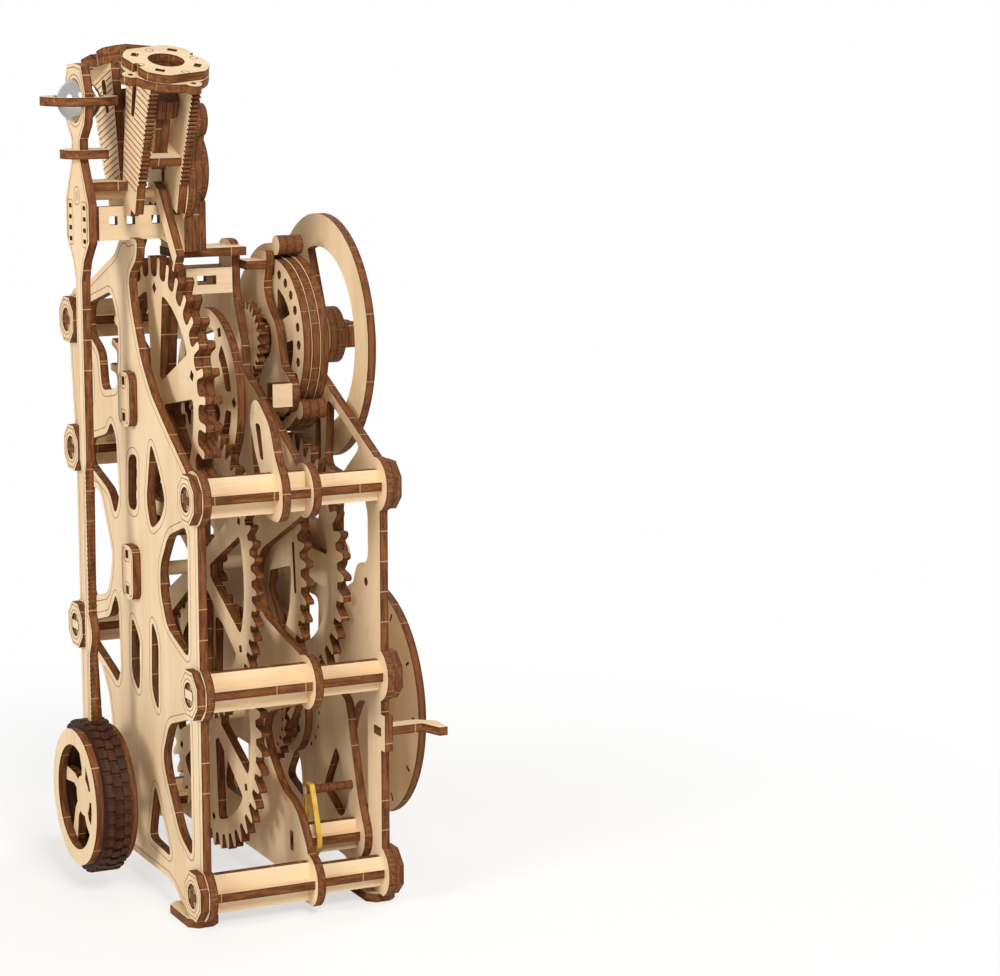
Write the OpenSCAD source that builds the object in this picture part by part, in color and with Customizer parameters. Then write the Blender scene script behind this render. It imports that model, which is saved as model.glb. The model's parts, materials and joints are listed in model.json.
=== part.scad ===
// Wooden mechanical clock: plywood frame, toothed train, twin cylinder top and a wheel shaped pendulum.
// Millimetres. The clock stands on the plane z = 0, its dials look to the front (-Y) and the
// pendulum hangs behind (+Y). The x axis runs along the width of the frame plates.

/* [Sheet] */
// Thickness of the plywood that every flat piece is cut from
ply = 3; // [2.6:0.1:3.4]
// Radial running clearance of an arbor in its bearing hole
run_gap = 0.08; // [0.05:0.01:0.1]
// Free gap between pieces that turn beside each other
side_gap = 0.6; // [0.4:0.1:1]

/* [Frame] */
// Distance from the middle plane to the centre line of a cross beam
beam_x = 60.2; // [56:0.1:66]
// Gap between a foot pad and the caps above it
pad_gap = 0.15; // [0.05:0.05:1]
// Height of the middle pair of beams above the lowest pair
mid_rise = 69.7; // [66:0.1:74]
// Height of the upper pair of beams above the lowest pair
top_rise = 135.7; // [130:0.1:142]
// Height of the single rear side beam above the lowest pair
peak_rise = 182.4; // [178:0.1:188]
// Clear distance between the rear plate and the middle plate
gap_ab = 36; // [34:0.5:40]
// Clear distance between the middle plate and the front plate
gap_bc = 23.5; // [22:0.5:27]
// Height of a beam strip between the rear and middle plates
beam_h = 13.5; // [12.5:0.1:14.5]
// Height of a beam strip between the middle and front plates
beam_front_h = 10.5; // [9.5:0.1:11.5]
// Height of the tenon at the end of a beam strip
tenon_h = 7; // [6:0.1:8]
// Radius of the round plate ends at the beams
lobe_r = 9.3; // [8.9:0.1:10]
// Width of a frame plate's upright bar
bar_w = 9; // [8:0.5:10]
// Length of a foot pad along the plate
foot_l = 23; // [21.5:0.5:26]
// Width of a foot pad across the plate
foot_w = 11; // [9:0.5:14]

/* [Beam caps] */
// Distance across the flats of an octagonal cap
cap_w = 16.3; // [15.5:0.1:17.2]
// Radius of the round hole in a cap
cap_hole_r = 4.3; // [4.2:0.1:4.8]

/* [Axes] */
// Height of the winding arbor above the lowest beams
wind_rise = 46; // [45:0.1:48]
// Height of the centre arbor above the lowest beams
centre_rise = 100.5; // [99:0.1:103]
// Height of the escape arbor above the lowest beams
escape_rise = 161.5; // [159:0.1:163]
// Height of the hand arbor above the lowest beams
hand_rise = 179.7; // [177:0.1:182]
// Height of the pendulum arbor above the lowest beams
swing_rise = 232; // [231.5:0.1:232.5]
// Radius of a turned arbor
arbor_r = 2.5; // [2.2:0.1:3]

/* [Train] */
// Teeth of the great wheel
great_teeth = 42; // [42]
// Teeth of the pinion that the great wheel drives
centre_pinion_teeth = 8; // [8]
// Teeth of the centre wheel
centre_teeth = 60; // [60]
// Teeth of the escape pinion
escape_pinion_teeth = 10; // [10]
// Teeth of the motion wheel
motion_teeth = 36; // [32:1:40]
// Tip radius of the motion wheel
motion_r = 44.5; // [43:0.5:45]
// Teeth of the hand wheel
hand_teeth = 24; // [24]
// Teeth of the pinion that drives the hand wheel
hand_pinion_teeth = 12; // [12]
// Teeth of the calendar wheel beside the motion wheel
minute_teeth = 44; // [40:1:48]
// Tip radius of the calendar wheel
minute_r = 47.5; // [46:0.5:49]
// Teeth of the escape wheel
escape_teeth = 32; // [32]
// Outer radius of the escape wheel
escape_r = 48.9; // [47:0.1:50]

/* [Dials] */
// Outer radius of the upper dial ring
ring_r = 43; // [41:0.5:46]
// Inner radius of the upper dial ring
ring_hole_r = 31.5; // [29:0.5:34]
// Clear gap between the front plate and the dial ring
ring_gap = 2; // [1.5:0.5:4]
// Radius of the lower dial
disc_r = 42.5; // [40:0.5:44]
// Clear gap between the front plate and the lower dial
disc_gap = 20.5; // [16:0.5:24]
// Radius of the rearmost sheet of the drum
drum_r = 28; // [26:0.5:29]
// Growth of the drum's radius from one sheet to the next
drum_step = 0.6; // [0.4:0.1:0.8]

/* [Pendulum] */
// Clear gap between the rear plate and the pendulum rod
rod_gap = 15; // [14:0.5:18]
// Outer radius of the pendulum wheel's tread
tyre_r = 27; // [25:0.5:29]
// Number of sheets stacked in the pendulum wheel
wheel_layers = 5; // [5]
// Height of the pendulum wheel's centre above the lowest beams
bob_rise = 22; // [20:0.5:26]
// Height of the lamp ball's centre above the lowest beams
lamp_rise = 264; // [262:0.5:267]
// Diameter of the lamp ball
lamp_d = 14.8; // [13.5:0.1:15.5]
// Half width of the rod's plain upper part
rod_half_w = 3.3; // [2.9:0.1:3.6]
// Half width of the rod's notched lower part
rod_low_w = 2.25; // [2:0.05:2.6]

/* [Engine] */
// Lean of each cylinder away from upright, in degrees
lean = 19; // [18:0.5:20]
// Height where both cylinder axes cross, above the lowest beams
crank_rise = 213.6; // [212:0.1:216]
// Distance from that crossing to the upper face of a cylinder cover
cover_reach = 68; // [66:0.5:70]
// Radius of the upper cylinder cover
cover_r = 14.8; // [14:0.1:16]
// Outside distance between the two cylinder side plates
engine_w = 18; // [17:0.5:20]
// Height of one cooling fin
fin_pitch = 1.6; // [1.4:0.1:2]

/* [Hidden] */

birch = "burlywood";
birch_dark = "tan";
// Overrun of every cutting shape
cut = 1;
// Number of straight steps that round one corner
corner_steps = 4;
// Share of an edge that a rounded corner may take
fillet_share = 0.42;
// Corner radius of frame outlines and of their windows
frame_fillet = 5;
window_fillet = 4;

// Height of the lowest pair of beams above the floor
low_z = ply + pad_gap + cap_w / 2;

// Y of the rear plate's rear face, so that the whole clock is centred front to back
plates_depth = 3 * ply + gap_ab + gap_bc;
wheel_half = wheel_layers * ply / 2;
// Width of the ring round the lamp ball and its gap to the ball
ring_w = 4.5;
lamp_gap = side_gap * 2;
back_reach = max(wheel_half, lamp_d / 2 + lamp_gap + ring_w);
y_a = (plates_depth + disc_gap + ply - rod_gap - ply / 2 - back_reach) / 2;
y_b = y_a - ply - gap_ab;
y_c = y_b - ply - gap_bc;
y_front = y_c - ply;
y_rod = y_a + rod_gap + ply;

wind_z = low_z + wind_rise;
centre_z = low_z + centre_rise;
escape_z = low_z + escape_rise;
hand_z = low_z + hand_rise;
swing_z = low_z + swing_rise;
crank_z = low_z + crank_rise;
bob_z = low_z + bob_rise;
lamp_z = low_z + lamp_rise;
hole_r = arbor_r + run_gap;
// Radius of the pendulum arbor and width of the anchor's hub round it
swing_r = 1.8;
anchor_hub_w = 2.1;

// Places of the cross beams: the ones through all three plates, the one that joins the rear and
// middle plates, and the one that joins the middle and front plates
full_beams = [for (z = [0, mid_rise, top_rise]) each [[-beam_x, low_z + z], [beam_x, low_z + z]]];
peak_beam = [beam_x * 1.03, low_z + peak_rise];
rear_beams = concat(full_beams, [peak_beam]);
step_beam = [-beam_x * 0.766, low_z + top_rise * 0.076];

// Turns a flat outline into a sheet whose rear face is at y
module sheet_y(y, t = ply) { translate([0, y, 0]) rotate([90, 0, 0]) linear_extrude(t) children(); }
// Turns an outline in y and z into a sheet whose low side is at x
module sheet_x(x, t = ply) { translate([x, 0, 0]) rotate([90, 0, 90]) linear_extrude(t) children(); }
// Lays an outline in x and y flat, with its under side at z
module sheet_z(z, t = ply) { translate([0, 0, z]) linear_extrude(t) children(); }

function unit(v) = v / norm(v);
// Points of one corner p between its neighbours, rounded as a curve
function corner(before, p, after, r) = let (
    u = unit(before - p), w = unit(after - p),
    t = min(r, norm(before - p) * fillet_share, norm(after - p) * fillet_share))
    [for (i = [0:corner_steps]) let (k = i / corner_steps)
        (1 - k) * (1 - k) * (p + u * t) + 2 * k * (1 - k) * p + k * k * (p + w * t)];
function soft(points, r) = let (n = len(points))
    [for (i = [0:n - 1]) each corner(points[(i + n - 1) % n], points[i], points[(i + 1) % n], r)];
// Turns shares of the beam spacing and of the frame height into a place on a plate
function at(share) = [share[0] * beam_x, low_z + share[1] * top_rise];
function outline(shares, r) = soft([for (s = shares) at(s)], r);
// Twice the area of an outline, positive where its points run anticlockwise
function signed_area(p) = let (n = len(p))
    [for (i = [0:n - 1]) cross(p[i], p[(i + 1) % n])] * [for (i = [0:n - 1]) 1];
function mirrored(points) = [for (i = [len(points) - 1:-1:0]) [-points[i][0], points[i][1]]];
function turned(p, a) = [p[0] * cos(a) + p[1] * sin(a), p[1] * cos(a) - p[0] * sin(a)];
// Points of an arc, angles counted from straight up towards +x
function arc(r, from, to, steps) = [for (i = [0:steps]) let (a = from + (to - from) * i / steps)
    [r * sin(a), r * cos(a)]];
// Closed outline of a window between two spokes
function sector(r1, r2, half1, half2) = concat(arc(r1, -half1, half1, 3), arc(r2, half2, -half2, 6));

// A round toothed outline: tooth half widths are shares of the pitch, heights shares of the module
function gear_module(distance, teeth_a, teeth_b) = 2 * distance / (teeth_a + teeth_b);
wheel_tooth_shares = [[-0.33, -1.35], [-0.21, 0], [-0.14, 0.75], [-0.06, 1.1]];
pinion_tooth_shares = [[-0.2, -1.35], [-0.185, 0], [-0.12, 0.65], [-0.05, 0.9]];
function gear_points(teeth, m, shares, phase) = [for (i = [0:teeth - 1]) each [
    for (side = [1, -1]) for (k = [0:len(shares) - 1])
        let (s = shares[side > 0 ? k : len(shares) - 1 - k],
            a = (i + side * s[0]) * 360 / teeth + phase, r = m * (teeth / 2 + s[1]))
        [r * sin(a), r * cos(a)]]];
function root_r(teeth, m) = m * (teeth / 2 + wheel_tooth_shares[0][1]);
// Module of a wheel that meshes with none, from its tip radius
function free_module(r, teeth) = r / (teeth / 2 + wheel_tooth_shares[3][1]);

great_m = gear_module(centre_z - wind_z, great_teeth, centre_pinion_teeth);
centre_m = gear_module(escape_z - centre_z, centre_teeth, escape_pinion_teeth);
hand_m = gear_module(hand_z - escape_z, hand_teeth, hand_pinion_teeth);

// Depths of the train's sheets, counted forwards from the rear plate's rear face
escape_d = 9;
centre_d = 24;
great_d = centre_d + ply + side_gap;
hand_wheel_d = 2 * ply + gap_ab + side_gap;
minute_d = hand_wheel_d + side_gap * 4;
motion_d = plates_depth - 2 * ply - side_gap * 4;
drum_d = motion_d - 2 * ply - side_gap * 2;
caliper_d = drum_d - side_gap - ply;
function y_at(d) = y_a - d;

module shape(points) {
    polygon(signed_area(points) > 0 ? points : [for (i = [len(points) - 1:-1:0]) points[i]]);
}
module hole(r) { circle(r = r, $fn = 48); }
module spot(place, r) { translate(place) circle(r = r, $fn = 48); }
module spin_copies(n) { for (i = [0:n - 1]) rotate(360 / n * i) children(); }
module diamond(size) { rotate(45) square(size, center = true); }

// Frame plates. Outline and window tables are shares of the beam spacing and the frame height.
plate_rear_shares = [[-1.05, 0], [-1.05, 1], [-0.88, 1.06], [-0.56, 1.15], [-0.33, 1.22], [-0.17, 1.3],
    [-0.03, 1.42], [0.02, 1.5], [-0.13, 1.55], [-0.15, 1.6], [0.14, 1.6], [0.24, 1.55], [0.75, 1.455],
    [1.08, 1.42], [1.13, 1.3], [1.05, 1], [1.05, 0], [0.93, -0.065], [0.72, -0.065], [0.53, -0.02],
    [-0.53, -0.02], [-0.72, -0.065], [-0.93, -0.065]];
plate_rear_window_shares = [
    [[-0.58, 0.88], [-0.85, 0.92], [-0.89, 0.9], [-0.88, 0.59], [-0.53, 0.64], [-0.43, 0.72], [-0.43, 0.79]],
    [[-0.53, 0.39], [-0.86, 0.435], [-0.88, 0.42], [-0.88, 0.08], [-0.68, 0.12], [-0.46, 0.25], [-0.42, 0.3]],
    [[-0.07, 1.05], [0.08, 1.04], [0.1, 0.9], [-0.05, 0.9]],
    [[-0.31, 1.1], [-0.45, 1.03], [-0.54, 0.96], [-0.46, 0.91], [-0.29, 0.87], [-0.22, 0.94]],
    [[0.08, 0.62], [-0.07, 0.56], [-0.03, 0.42], [0.1, 0.46]],
    [[-0.27, 0.64], [-0.38, 0.59], [-0.36, 0.4], [-0.25, 0.45]],
    [[-0.27, 0.21], [-0.15, 0.05], [-0.53, 0.04]],
    [[0.77, 1.32], [0.57, 1.28], [0.53, 1.18], [0.26, 1.2], [0.21, 1.3], [0.22, 1.38], [0.33, 1.45],
        [0.75, 1.4]],
    [[0.86, 1.26], [0.71, 1.235], [0.7, 1.15], [0.86, 1.1]],
    [[0.83, 1.03], [0.46, 1.07], [0.38, 1.11], [0.29, 1.07], [0.26, 0.91], [0.34, 0.86], [0.44, 0.92],
        [0.83, 0.97]],
    [[0.86, 0.91], [0.61, 0.91], [0.45, 0.79], [0.41, 0.75], [0.46, 0.68], [0.52, 0.64], [0.88, 0.6]],
    [[0.9, 0.53], [0.48, 0.58], [0.42, 0.62], [0.36, 0.65], [0.31, 0.62], [0.3, 0.45], [0.36, 0.41],
        [0.47, 0.43], [0.9, 0.49]],
    [[0.88, 0.46], [0.67, 0.435], [0.53, 0.37], [0.47, 0.28], [0.51, 0.15], [0.77, 0.1]]];
// Both sides of the post at the middle plate's top
post_shares = [0.055, 0.27];
plate_middle_shares = [[-0.6, -0.02], [-1.02, -0.02], [-1.02, 0.07], [-0.84, 0.17], [-0.6, 0.2], [-0.4, 0.28],
    [-0.34, 0.33], [-0.42, 0.38], [-1, 0.46], [-1, 0.57], [-0.34, 0.63], [-0.23, 0.73], [-0.34, 0.8],
    [-1, 0.94], [-0.9, 1.06], [-0.5, 1.16], [-0.09, 1.25], [-0.08, 1.32], [0.015, 1.4],
    [post_shares[0], 1.45], [post_shares[0], 1.58], [post_shares[1], 1.58], [post_shares[1], 1.47],
    [0.98, 1.4], [1.1, 1.34], [0.98, 1.27], [0.3, 1.34], [0.26, 1.2], [0.9, 1.06], [1.02, 0.94],
    [0.34, 0.8], [0.23, 0.73], [0.34, 0.63], [1, 0.57], [1, 0.46], [0.42, 0.38], [0.34, 0.33], [0.4, 0.24],
    [1.02, 0.07], [1.02, -0.02], [0.6, -0.02]];
plate_middle_window_shares = [
    [[-0.6, 1.08], [-0.84, 1.02], [-0.4, 0.9], [-0.26, 0.98], [-0.2, 1.1]],
    [[0.6, 1.08], [0.2, 1.12], [0.24, 0.98], [0.4, 0.9], [0.84, 1.02]],
    [[-0.12, 1], [0.12, 1], [0.14, 0.86], [-0.14, 0.86]],
    [[-0.13, 0.62], [0.13, 0.62], [0.1, 0.42], [-0.1, 0.42]],
    [[-0.2, 0.26], [0.2, 0.26], [0.3, 0.1], [-0.3, 0.1]]];
plate_front_shares = [[-1.05, 0], [-1.05, 1], [-1.02, 1.06], [-0.1, 1.25], [0.1, 1.25], [1.02, 1.06], [1.05, 1],
    [1.05, 0], [0.93, -0.065], [0.72, -0.065], [0.53, -0.02], [-0.53, -0.02], [-0.72, -0.065], [-0.93, -0.065]];
plate_front_post_shares = [[0.1, 1.18], [0.33, 1.18], [0.35, 1.57], [0.225, 1.57]];
plate_front_window_shares = [
    [[-0.42, 0.92], [-0.83, 0.96], [-0.88, 0.92], [-0.88, 0.79], [-0.72, 0.78], [-0.6, 0.66], [-0.42, 0.7]],
    [[-0.86, 0.43], [-0.72, 0.42], [-0.62, 0.36], [-0.5, 0.22], [-0.6, 0.1], [-0.86, 0.08]],
    [[-0.12, 1.13], [-0.2, 1.12], [-0.2, 1], [-0.12, 1]],
    [[-0.78, 1.08], [-0.3, 1.18], [-0.26, 1], [-0.5, 0.99]],
    [[0.78, 1.08], [0.3, 1.18], [0.26, 1], [0.5, 0.99]],
    [[-0.14, 0.96], [0.14, 0.96], [0.16, 0.84], [-0.16, 0.84]],
    [[0.42, 0.92], [0.42, 0.7], [0.6, 0.66], [0.72, 0.78], [0.88, 0.79], [0.88, 0.92], [0.83, 0.96]],
    [[-0.14, 0.64], [0.14, 0.64], [0.12, 0.45], [-0.12, 0.45]],
    [[-0.24, 0.56], [-0.46, 0.52], [-0.34, 0.3], [-0.24, 0.4]],
    [[0.24, 0.56], [0.24, 0.4], [0.34, 0.3], [0.46, 0.52]],
    [[0.86, 0.43], [0.86, 0.08], [0.6, 0.1], [0.5, 0.22], [0.62, 0.36], [0.72, 0.42]],
    [[-0.4, 0.1], [-0.2, 0.22], [0.2, 0.22], [0.4, 0.1], [0.1, 0.06], [-0.1, 0.06]]];

module lobes(places) { for (p = places) spot(p, lobe_r); }
module windows(tables) { for (t = tables) shape(outline(t, window_fillet)); }
// Holes that the crossed strips of a beam pass through
module cross_holes(places, h) {
    for (p = places) translate(p) {
        square([ply, h], center = true);
        square([h, ply], center = true);
    }
}
module tenon_holes(places) { for (p = places) translate(p) square([ply, tenon_h], center = true); }
module above_pads() {
    translate([-beam_x * 2, ply]) square([beam_x * 4, hand_z * 2]);
}

module plate_rear() {
    color(birch) sheet_y(y_a) difference() {
        intersection() {
            union() {
                difference() {
                    shape(outline(plate_rear_shares, frame_fillet));
                    windows(plate_rear_window_shares);
                }
                lobes(rear_beams);
                spot([0, centre_z], centre_hub_r);
                spot([0, escape_z], centre_hub_r);
            }
            above_pads();
        }
        tenon_holes(rear_beams);
        spot([0, centre_z], hole_r);
        spot([0, escape_z], hole_r);
        board_slot();
    }
}
centre_hub_r = 10;

module plate_middle() {
    color(birch) sheet_y(y_b) difference() {
        intersection() {
            union() {
                difference() {
                    shape(outline(plate_middle_shares, frame_fillet));
                    windows(plate_middle_window_shares);
                }
                lobes(full_beams);
                lobes([peak_beam, step_beam]);
            }
            above_pads();
        }
        cross_holes(full_beams, beam_front_h);
        tenon_holes([peak_beam, step_beam]);
        for (z = [wind_z, centre_z, escape_z, hand_z]) spot([0, z], hole_r);
        bridge_slots();
        spot([click_place[0], wind_z + click_place[1]], click_pin_r + run_gap);
    }
}

module plate_front() {
    color(birch) sheet_y(y_c) difference() {
        intersection() {
            union() {
                difference() {
                    shape(outline(plate_front_shares, frame_fillet));
                    windows(plate_front_window_shares);
                }
                shape(outline(plate_front_post_shares, window_fillet));
                lobes(full_beams);
                lobes([step_beam]);
                spot([0, hand_z], centre_hub_r);
                translate(stop_lever_place) square(bar_w * 1.4, center = true);
            }
            above_pads();
        }
        for (x = [-beam_x, beam_x]) spot([x * 0.85, low_z + top_rise * 0.74], ply / 2);
        tenon_holes(concat(full_beams, [step_beam]));
        for (z = [wind_z, centre_z, hand_z]) spot([0, z], hole_r);
        translate(stop_lever_place) square([stop_lever_h + run_gap * 2, ply + run_gap * 2], center = true);
    }
}

// Winding plate: a sheet on the front plate's rear face, with a pin for the rubber band
winding_plate_shares = [[-0.65, 0.427], [-0.73, 0.302], [-0.83, 0.167], [-0.91, 0.1], [-0.86, 0.02],
    [-0.6, 0.01], [-0.05, 0.02], [0.01, 0.07], [0.04, 0.177], [0.15, 0.236], [0.1, 0.38], [-0.1, 0.39]];
winding_window_shares = [[-0.51, 0.283], [-0.306, 0.147], [-0.58, 0.088], [-0.7, 0.152]];
winding_hole_reach = 15;
module winding_plate() {
    color(birch) sheet_y(y_c + ply) difference() {
        union() {
            difference() {
                shape(outline(winding_plate_shares, frame_fillet));
                shape(outline(winding_window_shares, window_fillet));
            }
            lobes([step_beam]);
            spot([0, wind_z], lobe_r * 0.8);
        }
        cross_holes([step_beam], beam_front_h);
        spot([0, wind_z], hole_r);
        for (a = [50:20:150]) translate([0, wind_z]) rotate(a) translate([0, winding_hole_reach]) hole(ply / 4);
    }
    color(birch_dark) translate([band_pin_place[0], y_at(band_pin_d), low_z + band_pin_place[1]])
        rotate([90, 0, 0]) cylinder(r = band_pin_r, h = y_at(band_pin_d) - y_c - ply, $fn = 32);
}

// Cross beams: an upright and a flat strip, each slotted to its middle, locked into a cross.
// tall is the length of the clear tall part, low the length of the shouldered part behind it and
// out how far both tenons reach beyond the plates.
module strip_outline(tall, low, h, out) {
    span = ply * 2 + tall + low;
    translate([-span - out, -tenon_h / 2]) square([span + out * 2, tenon_h]);
    translate([-ply - tall, -h / 2]) square([tall, h]);
    if (low > 0) translate([ply - span, -beam_front_h / 2]) square([tall + low, beam_front_h]);
}
module upright_strip(place, y, tall, low, h, out = ply) {
    span = ply * 2 + tall + low;
    translate([place[0], y, place[1]]) sheet_x(-ply / 2) difference() {
        strip_outline(tall, low, h, out);
        translate([-span / 2, -ply / 2]) square([span / 2 + out + cut, ply]);
        translate([-span - out - cut, -ply / 2]) square([ply + cut, ply]);
    }
}
module flat_strip(place, y, tall, low, h) {
    span = ply * 2 + tall + low;
    translate([place[0], y, place[1]]) sheet_z(-ply / 2) difference() {
        union() {
            translate([-h / 2, -ply - tall]) square([h, tall]);
            if (low > 0) translate([-beam_front_h / 2, ply - span]) square([beam_front_h, tall + low]);
        }
        translate([-ply / 2, -span - cut]) square([ply, span / 2 + cut]);
    }
}
module beam_upright_strips() {
    color(birch) {
        for (p = full_beams) upright_strip(p, y_a, gap_ab, gap_bc + ply, beam_h);
        upright_strip(peak_beam, y_a, gap_ab, 0, beam_h);
        upright_strip(step_beam, y_b, gap_bc, 0, beam_front_h, 0);
    }
}
module beam_flat_strips() {
    color(birch) {
        for (p = full_beams) flat_strip(p, y_a, gap_ab, gap_bc + ply, beam_h);
        flat_strip(peak_beam, y_a, gap_ab, 0, beam_h);
        flat_strip(step_beam, y_b, gap_bc, 0, beam_front_h);
    }
}

// Caps round the tenons, and the wedges that cross the slotted tenons inside them
cap_sides = 8;
module cap(place, y) {
    sheet_y(y) translate(place) difference() {
        rotate(180 / cap_sides) circle(r = cap_w / 2 / cos(180 / cap_sides), $fn = cap_sides);
        hole(cap_hole_r);
    }
}
module wedge(place, y) { sheet_y(y) translate(place) square([tenon_h, ply], center = true); }
module caps_rear() { color(birch) for (p = rear_beams) cap(p, y_a + ply); }
module caps_front() {
    color(birch) {
        for (p = full_beams) cap(p, y_front);
        cap(peak_beam, y_b - ply);
    }
}
module cap_wedges() {
    color(birch_dark) {
        for (p = rear_beams) wedge(p, y_a + ply);
        for (p = full_beams) wedge(p, y_front);
        wedge(peak_beam, y_b - ply);
    }
}
foot_chamfer_share = 0.25;
foot_share = 0.822;
module foot_pads() {
    half = [foot_l / 2, foot_w / 2];
    c = foot_w * foot_chamfer_share;
    color(birch) for (x = [-beam_x, beam_x] * foot_share, y = [y_a - ply / 2, y_c - ply / 2])
        translate([x, y, 0]) sheet_z(0) shape([for (s = [[-1, -1], [1, -1], [1, 1], [-1, 1]])
            each s[0] * s[1] > 0
                ? [[s[0] * half[0], s[1] * (half[1] - c)], [s[0] * (half[0] - c), s[1] * half[1]]]
                : [[s[0] * (half[0] - c), s[1] * half[1]], [s[0] * half[0], s[1] * (half[1] - c)]]]);
}

// Bearing blocks: rounded plates with two pegged corners over the ends of the arbors
block_w = 12;
block_h = 19;
module block(z, y, bore) {
    sheet_y(y) translate([0, z]) difference() {
        shape(soft([[-block_w / 2, -block_h / 2], [block_w / 2, -block_h / 2],
            [block_w / 2, block_h / 2], [-block_w / 2, block_h / 2]], window_fillet));
        if (bore > 0) hole(bore);
        for (s = [-1, 1]) translate([0, s * block_h / 3]) square(ply, center = true);
    }
}
module bearing_blocks_rear() {
    color(birch) for (z = [centre_z, escape_z]) block(z, y_a + ply, 0);
}
module bearing_blocks_front() {
    color(birch) for (z = [wind_z, centre_z]) block(z, y_front, hole_r);
}

// A round arbor between two depths
module arbor(z, d1, d2, r) {
    translate([0, y_at(d1), z]) rotate([90, 0, 0]) cylinder(r = r, h = d2 - d1, $fn = 48);
}
end_gap = 0.3;
dial_d = plates_depth + disc_gap;
module winding_arbor() { color(birch_dark) arbor(wind_z, great_d, dial_d + ply, arbor_r); }
module centre_arbor() { color(birch_dark) arbor(centre_z, end_gap, plates_depth + ply * 4, arbor_r); }
module escape_arbor() {
    color(birch_dark) arbor(escape_z, end_gap, hand_wheel_d + ply + side_gap, arbor_r);
}
ring_d = plates_depth + ring_gap;
module hand_arbor() { color(birch_dark) arbor(hand_z, ply + gap_ab, ring_d + ply * 4, arbor_r); }

// Toothed wheels. Each pair of angles is half a window's angle at the hub and at the rim.
great_window_angles = [10, 22];
centre_window_angles = [12, 24];
minute_window_angles = [14, 25];
motion_window_angles = [16, 34];
escape_window_angles = [8, 24];
drum_window_angles = [12, 22];
module spoked(n, r_in, r_out, angles) {
    spin_copies(n) rotate(180 / n) shape(soft(sector(r_in, r_out, angles[0], angles[1]), window_fillet));
}
hub_share = 0.24;
module great_wheel() {
    r_out = root_r(great_teeth, great_m) - bar_w * 0.6;
    color(birch) sheet_y(y_at(great_d)) translate([0, wind_z]) difference() {
        shape(gear_points(great_teeth, great_m, wheel_tooth_shares, 0));
        spoked(6, r_out * hub_share, r_out, great_window_angles);
        spin_copies(6) translate([0, r_out]) diamond(ply * 0.8);
        hole(arbor_r);
    }
}
module centre_wheel() {
    r_out = root_r(centre_teeth, centre_m) - bar_w * 0.8;
    color(birch) sheet_y(y_at(centre_d)) translate([0, centre_z]) difference() {
        shape(gear_points(centre_teeth, centre_m, wheel_tooth_shares, 0));
        spoked(6, r_out * hub_share, r_out, centre_window_angles);
        spin_copies(6) translate([0, r_out + bar_w * 0.2]) diamond(ply * 0.8);
        hole(arbor_r);
    }
}
function gap_phase(teeth) = teeth % 2 == 0 ? 180 / teeth : 0;
module centre_pinion() {
    color(birch_dark) sheet_y(y_at(centre_d + ply), ply + side_gap) translate([0, centre_z])
        pinion_2d(centre_pinion_teeth, great_m);
}
// Two pinions: the centre wheel drives the rear one, the front one drives the hand wheel
module pinion_2d(teeth, m) {
    difference() {
        shape(gear_points(teeth, m, pinion_tooth_shares, gap_phase(teeth)));
        hole(arbor_r);
    }
}
module escape_pinion() {
    color(birch_dark) {
        sheet_y(y_at(centre_d)) translate([0, escape_z]) pinion_2d(escape_pinion_teeth, centre_m);
        sheet_y(y_at(hand_wheel_d)) translate([0, escape_z]) pinion_2d(hand_pinion_teeth, hand_m);
    }
}
module minute_wheel() {
    m = free_module(minute_r, minute_teeth);
    r_out = root_r(minute_teeth, m) - bar_w;
    color(birch) sheet_y(y_at(minute_d)) translate([0, centre_z]) difference() {
        shape(gear_points(minute_teeth, m, wheel_tooth_shares, 0));
        spoked(5, r_out * 0.42, r_out, minute_window_angles);
        spin_copies(5) rotate(12) translate([0, r_out + bar_w * 0.35])
            shape(soft([[-bar_w, -ply / 3], [bar_w, -ply / 3], [bar_w, ply / 3], [-bar_w, ply / 3]], ply));
        hole(arbor_r);
    }
}
module motion_wheel() {
    m = free_module(motion_r, motion_teeth);
    r_out = root_r(motion_teeth, m) - bar_w * 0.9;
    color(birch) sheet_y(y_at(motion_d)) translate([0, centre_z]) difference() {
        shape(gear_points(motion_teeth, m, wheel_tooth_shares, 0));
        spoked(4, r_out * 0.4, r_out, motion_window_angles);
        hole(arbor_r);
    }
}
module hand_wheel() {
    color(birch_dark) sheet_y(y_at(hand_wheel_d)) translate([0, hand_z]) difference() {
        shape(gear_points(hand_teeth, hand_m, wheel_tooth_shares, 0));
        hole(arbor_r);
    }
}
knob_r = 9;
module centre_knob() {
    color(birch) {
        sheet_y(y_front - ply - side_gap) translate([0, centre_z]) difference() {
            shape(gear_points(12, knob_r / 7, pinion_tooth_shares, 0));
            hole(arbor_r);
        }
        sheet_y(y_front - ply * 2 - side_gap) translate([0, centre_z]) difference() {
            hole(knob_r * 0.7);
            hole(arbor_r);
        }
    }
}

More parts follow.
